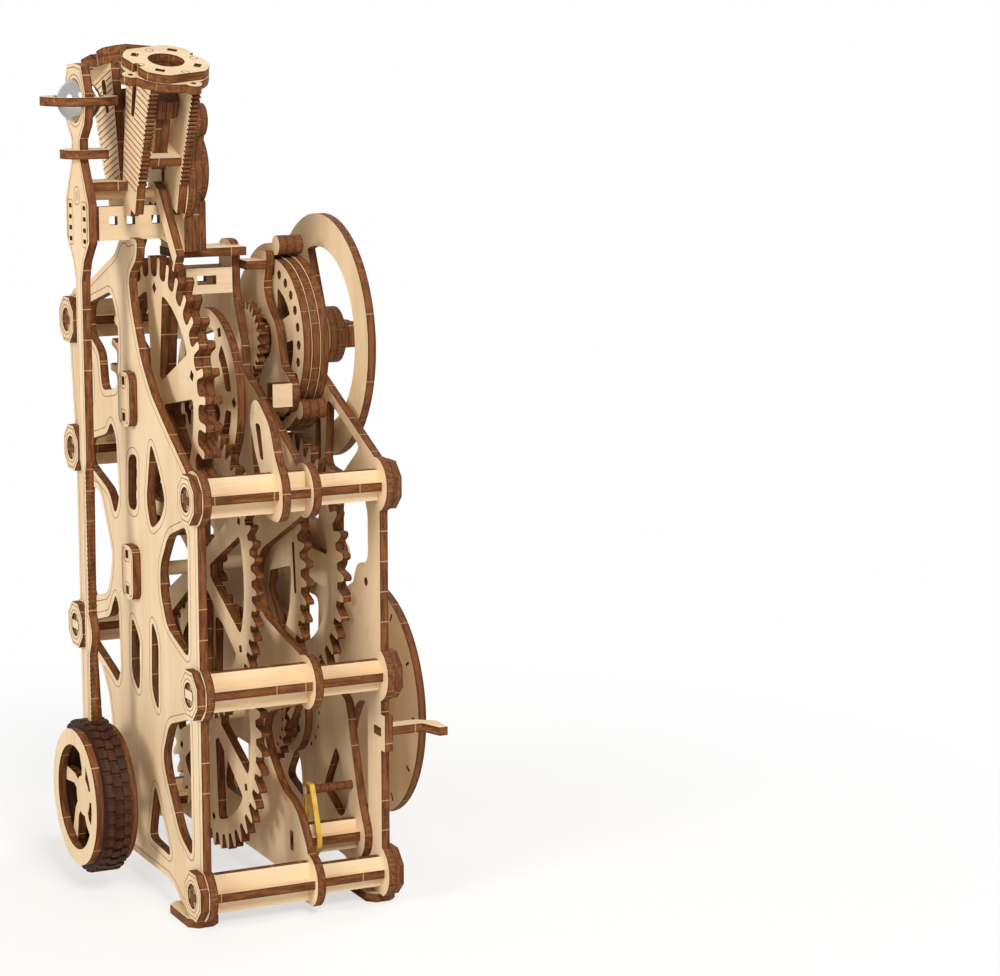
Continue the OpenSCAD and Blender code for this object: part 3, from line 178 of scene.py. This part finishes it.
# near the clock some of the soft shadow shows, far from it the floor is as white as the background
floorLook = {
    "half": 3.0,  # of its width
    "drop": 0.2 * mm,  # below the foot pads
    "colour": (0.93, 0.93, 0.92, 1),
    "roughness": 0.9,
    "gloss": 0.1,
    "fadeStart": 0.08,  # metres from the middle
    "fadeEnd": 0.34,
    "nearWhite": 0.62,  # share of plain white that the camera sees there
    "farWhite": 1.0,
}


def makeFloor():
    half = floorLook["half"]
    corners = [(-half, -half, 0), (half, -half, 0), (half, half, 0), (-half, half, 0)]
    mesh = bpy.data.meshes.new("paleFloor")
    mesh.from_pydata(corners, [], [(0, 1, 2, 3)])
    floor = bpy.data.objects.new("paleFloor", mesh)
    scene.collection.objects.link(floor)
    floor.location.z = -floorLook["drop"]
    paint, desk, shader = newMaterial("paleFloor")
    shader.inputs["Base Color"].default_value = floorLook["colour"]
    shader.inputs["Roughness"].default_value = floorLook["roughness"]
    shader.inputs["Specular IOR Level"].default_value = floorLook["gloss"]
    spot = desk.put("ShaderNodeTexCoord")
    away = desk.put("ShaderNodeVectorMath", {0: spot.outputs["Object"]}, operation="LENGTH")
    fade = desk.put("ShaderNodeMapRange", {
        "Value": away.outputs["Value"],
        "From Min": floorLook["fadeStart"],
        "From Max": floorLook["fadeEnd"],
        "To Min": floorLook["nearWhite"],
        "To Max": floorLook["farWhite"],
    })
    path = desk.put("ShaderNodeLightPath")
    share = desk.math("MULTIPLY", path.outputs["Is Camera Ray"], fade.outputs[0])
    glow = desk.put("ShaderNodeEmission")  # plain white at strength 1
    mix = desk.put("ShaderNodeMixShader", {0: share, 1: shader.outputs[0], 2: glow.outputs[0]})
    desk.tree.links.new(mix.outputs[0], desk.tree.nodes["Material Output"].inputs[0])
    mesh.materials.append(paint)


scene.view_settings.view_transform = "Standard"
makeCamera()
makeLights()
makeWorld()
makeFloor()
print("clock: camera, lights and floor are in place")


# a new shader node group with these named inputs and the outputs that both wood effects give
def newEffect(name, inputs):
    group = bpy.data.node_groups.new(name, "ShaderNodeTree")
    for label, (kind, value) in inputs.items():
        socket = group.interface.new_socket(label, in_out="INPUT", socket_type="NodeSocket" + kind)
        if value is not None:
            socket.default_value = value
    for label, kind in (("Colour", "Color"), ("Height", "Float"), ("Roughness", "Float")):
        group.interface.new_socket(label, in_out="OUTPUT", socket_type="NodeSocket" + kind)
    desk = NodeDesk(group)
    return group, desk, desk.put("NodeGroupInput").outputs


# birch faces: fine and broad streaks and soft patches pull the colour from pale to warm
grainLook = {
    "stretch": (900.0, 900.0, 45.0),  # noise cells a metre along x, y and z
    "pale": (0.82, 0.645, 0.43, 1),
    "warm": (0.66, 0.455, 0.25, 1),
    "fleck": (0.42, 0.26, 0.13, 1),
    "broadStretch": (0.12, 0.12, 0.12),  # this and the next are shares of the fine streaks' cells
    "fleckStretch": (1.6, 1.6, 2.2),
    "patchScale": 14.0,
    "fineBand": (0.35, 0.75),
    "broadBand": (0.35, 0.7),
    "patchBand": (0.4, 0.7),
    "fleckBand": (0.66, 0.74),
    "fineShare": 0.26,
    "broadShare": 0.38,
    "patchShare": 0.22,
    "fleckShare": 0.22,
    "leastRough": 0.46,
    "addedRough": 0.22,
}


def makeBirchGrain():
    look = grainLook
    group, desk, given = newEffect("birchGrain", {
        "Place": ("Vector", None),
        "Stretch": ("Vector", look["stretch"]),
        "Pale": ("Color", look["pale"]),
        "Warm": ("Color", look["warm"]),
    })
    streaks = desk.vector("MULTIPLY", given["Place"], given["Stretch"])
    fine = desk.noise(streaks, detail=3.0, rough=0.6)
    broad = desk.noise(desk.vector("MULTIPLY", streaks, look["broadStretch"]))
    patch = desk.noise(given["Place"], scale=look["patchScale"], detail=1.0)
    fleck = desk.noise(desk.vector("MULTIPLY", streaks, look["fleckStretch"]), detail=1.0, rough=0.4)
    tone = desk.math("MULTIPLY", desk.band(broad, look["broadBand"]), look["broadShare"])
    tone = desk.math("MULTIPLY_ADD", desk.band(fine, look["fineBand"]), look["fineShare"], tone)
    patches = desk.math("MULTIPLY", desk.band(patch, look["patchBand"]), look["patchShare"])
    colour = desk.mix(desk.math("ADD", tone, patches), given["Pale"], given["Warm"])
    flecks = desk.math("MULTIPLY", desk.band(fleck, look["fleckBand"]), look["fleckShare"])
    desk.put("NodeGroupOutput", {
        "Colour": desk.mix(flecks, colour, look["fleck"]),
        "Height": fine,
        "Roughness": desk.math("MULTIPLY_ADD", fine, look["addedRough"], look["leastRough"]),
    })
    return group


# burnt edges: brown clouds and fine plies along the sheets, dark seams between them, thin pale ticks
burntLook = {
    "char": (0.042, 0.011, 0.0025, 1),
    "toast": (0.25, 0.086, 0.023, 1),
    "cloudCells": (0.11, 0.75),  # noise cells a millimetre, along and across the edge
    "plyCells": (0.5, 2.6),
    "noiseBand": (0.3, 0.7),
    "cloudShare": 0.62,
    "plyShare": 0.38,
    "seamBand": (0.03, 0.2),  # from a sheet's border, in shares of the sheet
    "seamShare": 0.72,
    "tab": (0.62, 0.40, 0.20, 1),
    "tabPitch": 10.5,  # millimetres along the edge
    "tabBand": (0.010, 0.022),  # from a tick's middle, in shares of the pitch
    "tabsLeftOut": 0.4,
    "tabShare": 0.62,
    "tabDepth": 0.5,
    "leastRough": 0.55,
    "addedRough": 0.25,
}


def makeBurntEdge():
    look = burntLook
    group, desk, given = newEffect("burntEdge", {
        "Place": ("Vector", None),
        "Facing": ("Vector", None),
        "Across": ("Vector", (0.0, 1.0, 0.0)),
        "Char": ("Color", look["char"]),
        "Toast": ("Color", look["toast"]),
        "Tab": ("Color", look["tab"]),
        "Tab pitch": ("Float", look["tabPitch"]),
        "Start": ("Float", 0.0),
        "Sheet": ("Float", ply / mm),
    })
    place = desk.vector("MULTIPLY", given["Place"], (1 / mm, 1 / mm, 1 / mm))
    across = desk.vector("DOT_PRODUCT", place, given["Across"])
    side = desk.vector("CROSS_PRODUCT", given["Facing"], given["Across"])
    along = desk.vector("DOT_PRODUCT", place, side)

    def cells(scales):
        return desk.point(desk.math("MULTIPLY", along, scales[0]), desk.math("MULTIPLY", across, scales[1]))

    cloudy = desk.noise(cells(look["cloudCells"]))
    plies = desk.noise(cells(look["plyCells"]), rough=0.6)
    lit = desk.math("MULTIPLY", desk.band(plies, look["noiseBand"]), look["plyShare"])
    lit = desk.math("MULTIPLY_ADD", desk.band(cloudy, look["noiseBand"]), look["cloudShare"], lit)
    colour = desk.mix(lit, given["Char"], given["Toast"])

    # the level counts stacked sheets, so a seam is where it is whole
    level = desk.math("DIVIDE", desk.math("SUBTRACT", across, given["Start"]), given["Sheet"])
    fromCore = desk.math("ABSOLUTE", desk.math("SUBTRACT", desk.math("FRACT", level), 0.5))
    seam = desk.math("SUBTRACT", 1.0, desk.band(desk.math("SUBTRACT", 0.5, fromCore), look["seamBand"]))
    colour = desk.mix(desk.math("MULTIPLY", seam, look["seamShare"]), colour, given["Char"])

    # a tick is in the middle of each pitch, unless the lot of its pitch and sheet leaves it out
    run = desk.math("DIVIDE", along, given["Tab pitch"])
    fromTick = desk.math("ABSOLUTE", desk.math("SUBTRACT", desk.math("FRACT", run), 0.5))
    line = desk.math("SUBTRACT", 1.0, desk.band(fromTick, look["tabBand"]))
    index = desk.point(desk.math("FLOOR", run), desk.math("FLOOR", level))
    lot = desk.put("ShaderNodeTexWhiteNoise", {"Vector": index}, noise_dimensions="3D").outputs["Value"]
    chosen = desk.math("GREATER_THAN", lot, look["tabsLeftOut"])
    tabs = desk.math("MULTIPLY", desk.math("MULTIPLY", line, chosen), look["tabShare"])
    desk.put("NodeGroupOutput", {
        "Colour": desk.mix(tabs, colour, given["Tab"]),
        "Height": desk.math("SUBTRACT", cloudy, desk.math("MULTIPLY", tabs, look["tabDepth"])),
        "Roughness": desk.math("MULTIPLY_ADD", cloudy, look["addedRough"], look["leastRough"]),
    })
    return group


birchGrain = makeBirchGrain()
burntEdge = makeBurntEdge()

woodLook = {
    "uprightGrain": (900.0, 900.0, 45.0),
    "beamGrain": (900.0, 45.0, 900.0),
    "dowelPale": (0.74, 0.54, 0.32, 1),
    "dowelWarm": (0.52, 0.33, 0.16, 1),
    "gloss": 0.25,
    "edgeGloss": 0.22,
    "bump": 0.25,
    "edgeBump": 0.5,
    "bumpDepth": 0.2 * mm,
}


# a material round one wood effect, with the effect's sockets set as given
def dressMaterial(name, effect, gloss, bump, sockets):
    material, desk, shader = newMaterial(name)
    spot = desk.put("ShaderNodeTexCoord")
    wood = desk.put("ShaderNodeGroup", node_tree=effect)
    desk.tree.links.new(spot.outputs["Object"], wood.inputs["Place"])
    if "Facing" in wood.inputs:
        desk.tree.links.new(spot.outputs["Normal"], wood.inputs["Facing"])
    for label, value in sockets.items():
        wood.inputs[label].default_value = value
    height = {"Height": wood.outputs["Height"], "Strength": bump, "Distance": woodLook["bumpDepth"]}
    raised = desk.put("ShaderNodeBump", height)
    desk.tree.links.new(wood.outputs["Colour"], shader.inputs["Base Color"])
    desk.tree.links.new(wood.outputs["Roughness"], shader.inputs["Roughness"])
    desk.tree.links.new(raised.outputs[0], shader.inputs["Normal"])
    shader.inputs["Specular IOR Level"].default_value = gloss
    return material


def paleWood(name, sockets):
    return dressMaterial(name, birchGrain, woodLook["gloss"], woodLook["bump"], sockets)


faceUpright = paleWood("birchFaceUpright", {"Stretch": woodLook["uprightGrain"]})
faceBeam = paleWood("birchFaceBeam", {"Stretch": woodLook["beamGrain"]})
dowelWood = paleWood("dowelWood", {
    "Stretch": woodLook["beamGrain"],
    "Pale": woodLook["dowelPale"],
    "Warm": woodLook["dowelWarm"],
})

# the pendulum wheel's tread is charred all over, and its ticks are too far apart to show
treadLook = {
    "Char": (0.020, 0.006, 0.002, 1),
    "Toast": (0.075, 0.025, 0.009, 1),
    "Tab pitch": 400.0,
}
madeEdges = {}


# a direction in round numbers, with -0.0 made 0.0, so that like directions have the same key
def directionKey(direction):
    return tuple(round(c, 2) + 0.0 for c in direction)


# the burnt edge of sheets that face along normal and start at low, made once for all that share both
def edgeFor(normal, low, extra):
    start = round(low / mm % (ply / mm), 1)
    key = directionKey(normal) + (start, bool(extra))
    if key not in madeEdges:
        name = f"burntEdge{len(madeEdges):02d}"
        gloss, bump = woodLook["edgeGloss"], woodLook["edgeBump"]
        sockets = {"Across": tuple(normal), "Start": start} | extra
        madeEdges[key] = dressMaterial(name, burntEdge, gloss, bump, sockets)
    return madeEdges[key]


speckBand = (0.3, 0.7)  # noise levels between which a speckled colour changes over
engravingLook = {
    "dark": (0.16, 0.062, 0.024, 1),
    "light": (0.36, 0.18, 0.085, 1),
    "specks": 400.0,  # noise cells a metre
    "roughness": 0.8,
    "gloss": 0.2,
}


def makeEngraving():
    material, desk, shader = newMaterial("engravedLine")
    spot = desk.put("ShaderNodeTexCoord")
    depth = desk.noise(spot.outputs["Object"], engravingLook["specks"], rough=0.6)
    colour = desk.mix(desk.band(depth, speckBand), engravingLook["dark"], engravingLook["light"])
    desk.tree.links.new(colour, shader.inputs["Base Color"])
    shader.inputs["Roughness"].default_value = engravingLook["roughness"]
    shader.inputs["Specular IOR Level"].default_value = engravingLook["gloss"]
    return material


rubberLook = {
    "dark": (0.56, 0.30, 0.025, 1),
    "light": (0.70, 0.44, 0.06, 1),
    "specks": 260.0,
    "leastRough": 0.42,
    "addedRough": 0.2,
}


def makeRubber():
    material, desk, shader = newMaterial("yellowRubber")
    spot = desk.put("ShaderNodeTexCoord")
    dusty = desk.noise(spot.outputs["Object"], rubberLook["specks"], detail=3.0, rough=0.6)
    colour = desk.mix(desk.band(dusty, speckBand), rubberLook["dark"], rubberLook["light"])
    rough = desk.math("MULTIPLY_ADD", dusty, rubberLook["addedRough"], rubberLook["leastRough"])
    desk.tree.links.new(colour, shader.inputs["Base Color"])
    desk.tree.links.new(rough, shader.inputs["Roughness"])
    return material


steelLook = {
    "colour": (0.42, 0.41, 0.40, 1),
    "haze": 180.0,
    "leastRough": 0.05,
    "addedRough": 0.06,
}


def makeSteel():
    material, desk, shader = newMaterial("chromedBall")
    spot = desk.put("ShaderNodeTexCoord")
    hazy = desk.noise(spot.outputs["Object"], steelLook["haze"], detail=4.0, rough=0.6)
    rough = desk.math("MULTIPLY_ADD", hazy, steelLook["addedRough"], steelLook["leastRough"])
    shader.inputs["Base Color"].default_value = steelLook["colour"]
    shader.inputs["Metallic"].default_value = 1.0
    desk.tree.links.new(rough, shader.inputs["Roughness"])
    return material


engraving = makeEngraving()
rubber = makeRubber()
steel = makeSteel()
print("clock: materials are made")


# a mesh's faces, grouped by the solid that they belong to
def solidsOf(mesh):
    places = np.zeros(len(mesh.vertices) * 3)
    mesh.vertices.foreach_get("co", places)
    keys = np.round(places.reshape(-1, 3) / micron).astype(np.int64)
    _, same = np.unique(keys, axis=0, return_inverse=True)
    same = same.ravel()
    parent = list(range(same.max() + 1))

    def root(i):
        while parent[i] != i:
            parent[i] = parent[parent[i]]
            i = parent[i]
        return i

    for face in mesh.polygons:
        first = root(same[face.vertices[0]])
        for v in face.vertices[1:]:
            parent[root(same[v])] = first
    groups = {}
    for face in mesh.polygons:
        groups.setdefault(root(same[face.vertices[0]]), []).append(face)
    return list(groups.values())


dressLook = {
    "pale": 0.98,  # a face at least this square to its sheet's direction is pale, any other is burnt
    "sides": (1.0, 3.1, 7.3),  # lies in no sheet's plane, so it tells a direction from its opposite
    "whole": {
        "winding_arbor": dowelWood,
        "centre_arbor": dowelWood,
        "escape_arbor": dowelWood,
        "hand_arbor": dowelWood,
        "swing_arbor": dowelWood,
        "rubber_band": rubber,
        "lamp_ball": steel,
    },
    "allBurnt": {"wheel_tread"},
}


# the direction that most of a solid's flat area looks along, which is square to its sheet
def sheetNormal(faces):
    areas = {}
    for face in faces:
        lean = sum(c * side for c, side in zip(face.normal, dressLook["sides"]))
        key = directionKey(face.normal if lean > 0 else -face.normal)
        areas[key] = areas.get(key, 0) + face.area
    return Vector(max(areas, key=areas.get)).normalized()


def dressSheet(mesh, allBurnt):
    mesh.materials.append(faceUpright)
    mesh.materials.append(faceBeam)
    for faces in solidsOf(mesh):
        main = sheetNormal(faces)
        facing = max(range(3), key=lambda i: abs(main[i]))
        plain = faceUpright if facing == 1 else faceBeam
        low = min(main.dot(mesh.vertices[i].co) for face in faces for i in face.vertices)
        edge = edgeFor(main, low, treadLook if allBurnt else {})
        if edge.name not in mesh.materials:
            mesh.materials.append(edge)
        for face in faces:
            pale = abs(face.normal.dot(main)) > dressLook["pale"] and not allBurnt
            face.material_index = mesh.materials.find((plain if pale else edge).name)


for name, obj in nodes.items():
    obj.data.materials.clear()
    if name in dressLook["whole"]:
        obj.data.materials.append(dressLook["whole"][name])
    else:
        dressSheet(obj.data, name in dressLook["allBurnt"])
print("clock: wood is dressed")

# burnt lines are thin ribbons that lie just proud of a sheet's pale face
lineLook = {
    "width": 0.30 * mm,
    "proud": 0.03 * mm,
    "longest": 1.5 * mm,  # a straight run
    "turn": math.radians(20),  # the most that a line turns from one run to the next at a corner
    "leastCorner": 1e-3,  # a corner whose sine is less than this isn't rounded
    "crowding": 0.97,  # a run stays this share of its inset away from every edge, or it is left out
    "flat": 0.999,  # a face at least this square to a side is part of that side
}
xAxis = Vector((1, 0, 0))
yAxis = Vector((0, 1, 0))
zAxis = Vector((0, 0, 1))


# the directed edges round the flat faces that look along side (1 is rearwards, -1 forwards)
def outlineOf(mesh, side):
    edges = set()
    for face in mesh.polygons:
        if face.normal.y * side > lineLook["flat"]:
            keys = [tuple(round(c / micron) for c in mesh.vertices[i].co) for i in face.vertices]
            for edge in zip(keys, keys[1:] + keys[:1]):
                if edge[::-1] in edges:
                    edges.discard(edge[::-1])
                else:
                    edges.add(edge)
    level = max((start[1] * side for start, _ in edges)) * side
    following = {start: end for start, end in edges if start[1] == level and end[1] == level}
    return following, level * micron


# where an outline's edges start and end, as flat points in metres
def edgeEnds(following):
    starts = np.array([(a[0], a[2]) for a in following]) * micron
    ends = np.array([(b[0], b[2]) for b in following.values()]) * micron
    return starts, ends


def crossed(a, b):  # above 0 where b lies to the left of a
    return a[0] * b[1] - a[1] * b[0]


def ray(turn):  # the flat direction at an angle
    return np.array((math.cos(turn), math.sin(turn)))


# runs along an arc, each a pair of flat points as all runs are
def arcRuns(centre, radius, first, sweep, steps):
    marks = [centre + radius * ray(first + sweep * k / steps) for k in range(steps + 1)]
    return list(zip(marks, marks[1:]))


# runs that keep one inset from an outline, with rounded corners
def insetRuns(following, inset, side):
    starts, ends = edgeEnds(following)
    along = ends - starts
    lengths = np.maximum(np.hypot(along[:, 0], along[:, 1]), shortest)
    along = along / lengths[:, None]
    inward = np.stack((side * along[:, 1], -side * along[:, 0]), axis=1)
    number = {start: i for i, start in enumerate(following)}
    runs = []
    for i, end in enumerate(following.values()):
        steps = max(1, math.ceil(lengths[i] / lineLook["longest"]))
        shift = inward[i] * inset
        marks = [starts[i] + along[i] * lengths[i] * k / steps + shift for k in range(steps + 1)]
        runs += list(zip(marks, marks[1:]))
        j = number.get(end)
        if j is not None and side * crossed(along[i], along[j]) > lineLook["leastCorner"]:
            first = math.atan2(inward[i][1], inward[i][0])
            sweep = math.asin(min(1, abs(crossed(along[i], along[j]))))
            if along[i] @ along[j] < 0:
                sweep = math.pi - sweep
            sweep *= 1 if crossed(inward[i], inward[j]) > 0 else -1
            steps = max(1, math.ceil(abs(sweep) / lineLook["turn"]))
            runs += arcRuns(ends[i], inset, first, sweep, steps)
    kept = []
    for a, b in runs:
        middle = (a + b) / 2
        reach = np.clip(((middle - starts) * along).sum(1), 0, lengths)
        gaps = middle - starts - along * reach[:, None]
        if np.hypot(gaps[:, 0], gaps[:, 1]).min() > inset * lineLook["crowding"]:
            kept.append((a, b))
    return kept


# the parts of a straight line that lie on a sheet's face, drawn in by a margin at both ends
def insideRuns(following, start, end, margin):
    starts, ends = edgeEnds(following)
    way = (end - start) / np.hypot(*(end - start))
    normal = np.array((-way[1], way[0]))
    a, b = (starts - start) @ normal, (ends - start) @ normal
    across = (a > 0) != (b > 0)
    a, b, starts, ends = a[across], b[across], starts[across], ends[across]
    marks = np.sort((starts + (ends - starts) * (a / (a - b))[:, None] - start) @ way)
    spans = [(low + margin, high - margin) for low, high in zip(marks[::2], marks[1::2])]
    return [(start + way * low, start + way * high) for low, high in spans if high - low > margin]


# the plane of a face that looks along side: its origin, its two axes and its outward direction
def facePlane(level, side):
    return Vector((0, level, 0)), xAxis, zAxis, yAxis * side


# one ribbon mesh from runs in a plane, riding with the body
def layLines(name, runs, plane, body, width=lineLook["width"]):
    origin, u, v, outward = plane
    base = origin + outward * lineLook["proud"]
    corners = []
    faces = []
    for a, b in runs:
        along = (b - a) / max(np.hypot(*(b - a)), shortest)
        across = np.array((-along[1], along[0])) * width / 2
        first = len(corners)
        for spot in (a - across, b - across, b + across, a + across):
            corners.append(base + u * spot[0] + v * spot[1])
        faces.append(tuple(range(first, first + 4)))
    mesh = bpy.data.meshes.new(name)
    mesh.from_pydata(corners, [], faces)
    if faces and mesh.polygons[0].normal.dot(outward) < 0:
        mesh.flip_normals()
    mesh.materials.append(engraving)
    lines = bpy.data.objects.new(name, mesh)
    scene.collection.objects.link(lines)
    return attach(lines, body)


engravedSheets = {
    # node: side, inset of its line from its outline
    "plate_rear": (1, 2.3 * mm),
    "plate_front": (-1, 2.3 * mm),
    "caps_rear": (1, 1.1 * mm),
    "caps_front": (-1, 1.1 * mm),
    "bearing_blocks_rear": (1, 1.1 * mm),
    "pendulum_rod": (1, 1.3 * mm),
}
for node, (side, inset) in engravedSheets.items():
    following, level = outlineOf(nodes[node].data, side)
    layLines(node + "_lines", insetRuns(following, inset, side), facePlane(level, side), bodyOf[node])

# plain ticks round the dial's front, with a longer one at each hour
tickLook = {
    "inner": 0.84,  # shares of the dial's radius
    "outer": 0.93,
    "count": 60,
    "hour": 5,  # every fifth tick is a longer one
}


def layTicks(node, centreHeight):
    low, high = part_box(node)
    radius = (high.x - low.x) / 2
    middle = np.array(((high.x + low.x) / 2, centreHeight))
    inner, outer = tickLook["inner"], tickLook["outer"]
    runs = []
    for k in range(tickLook["count"]):
        way = ray(2 * math.pi * k / tickLook["count"])
        start = inner if k % tickLook["hour"] == 0 else (inner + outer) / 2
        runs.append((middle + way * radius * start, middle + way * radius * outer))
    layLines(node + "_ticks", runs, facePlane(low.y, -1), bodyOf[node])


layTicks("dial_ring", (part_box("hand_arbor")[0].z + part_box("hand_arbor")[1].z) / 2)

# cooling fins burnt across both faces of the cylinder side plates, square to each cylinder's axis
finLook = {
    "pitch": 2.1 * mm,
    "low": 27 * mm,  # from the crank, up along the cylinder
    "high": 66 * mm,
    "reach": 13 * mm,  # to each side of the cylinder's axis
    "margin": 0.5 * mm,
    "width": 0.55 * mm,
}
axisOf = {joint["child"]: Vector(joint["axis"]) for joint in behaviour["joints"]}
cylinders = {}  # each piston's body: its cylinder's direction, and the crank where the two meet
for body, node in (("piston_near", "pistons_near"), ("piston_far", "pistons_far")):
    along = axisOf[body].normalized()
    low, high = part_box(node)
    middle = (low + high) / 2
    cylinders[body] = (along, Vector((0, middle.y, middle.z - middle.x * along.z / along.x)))


def finRuns(following, along, crank):
    way = np.array((along.x, along.z))
    square = np.array((along.z, -along.x))
    reach = finLook["reach"]
    runs = []
    for k in range(int((finLook["high"] - finLook["low"]) / finLook["pitch"])):
        spot = np.array((crank.x, crank.z)) + way * (finLook["low"] + k * finLook["pitch"])
        found = insideRuns(following, spot - square * reach, spot + square * reach, finLook["margin"])
        for a, b in found:
            ownSide = (a + b)[0] * along.x > 0
            if ownSide and np.hypot(*((a + b) / 2 - spot)) < reach:
                runs.append((a, b))
    return runs


for node, side in (("engine_plate_rear", 1), ("engine_plate_front", -1)):
    following, level = outlineOf(nodes[node].data, side)
    runs = []
    for along, crank in cylinders.values():
        runs += finRuns(following, along, crank)
    layLines(node + "_fins", runs, facePlane(level, side), bodyOf[node], finLook["width"])

# small burnt circles between the slots on each cylinder's cover
circleLook = {
    "radius": 1.3 * mm,
    "out": 0.76,  # share of the cover's radius
    "turns": (15, 105, 195, 285),  # degrees round the cover
    "runs": 16,  # straight runs in one circle
    "top": 0.05 * mm,  # the cover's top is what lies no deeper than this
}


def layCircles(body, along, crank):
    corners = [vertex.co for vertex in nodes["engine_cover_layers"].data.vertices]
    level = max(along.dot(corner) for corner in corners)
    tops = [corner.y for corner in corners if along.dot(corner) > level - circleLook["top"]]
    radius = (max(tops) - min(tops)) / 2
    middle = crank + along * (level - along.dot(crank))
    runs = []
    for turn in circleLook["turns"]:
        spot = radius * circleLook["out"] * ray(math.radians(turn))
        runs += arcRuns(spot, circleLook["radius"], 0, 2 * math.pi, circleLook["runs"])
    layLines(body + "_cover_circles", runs, (middle, yAxis.cross(along), yAxis, along), "frame")


for body, (along, crank) in cylinders.items():
    layCircles(body, along, crank)
print("clock: burnt lines are laid")
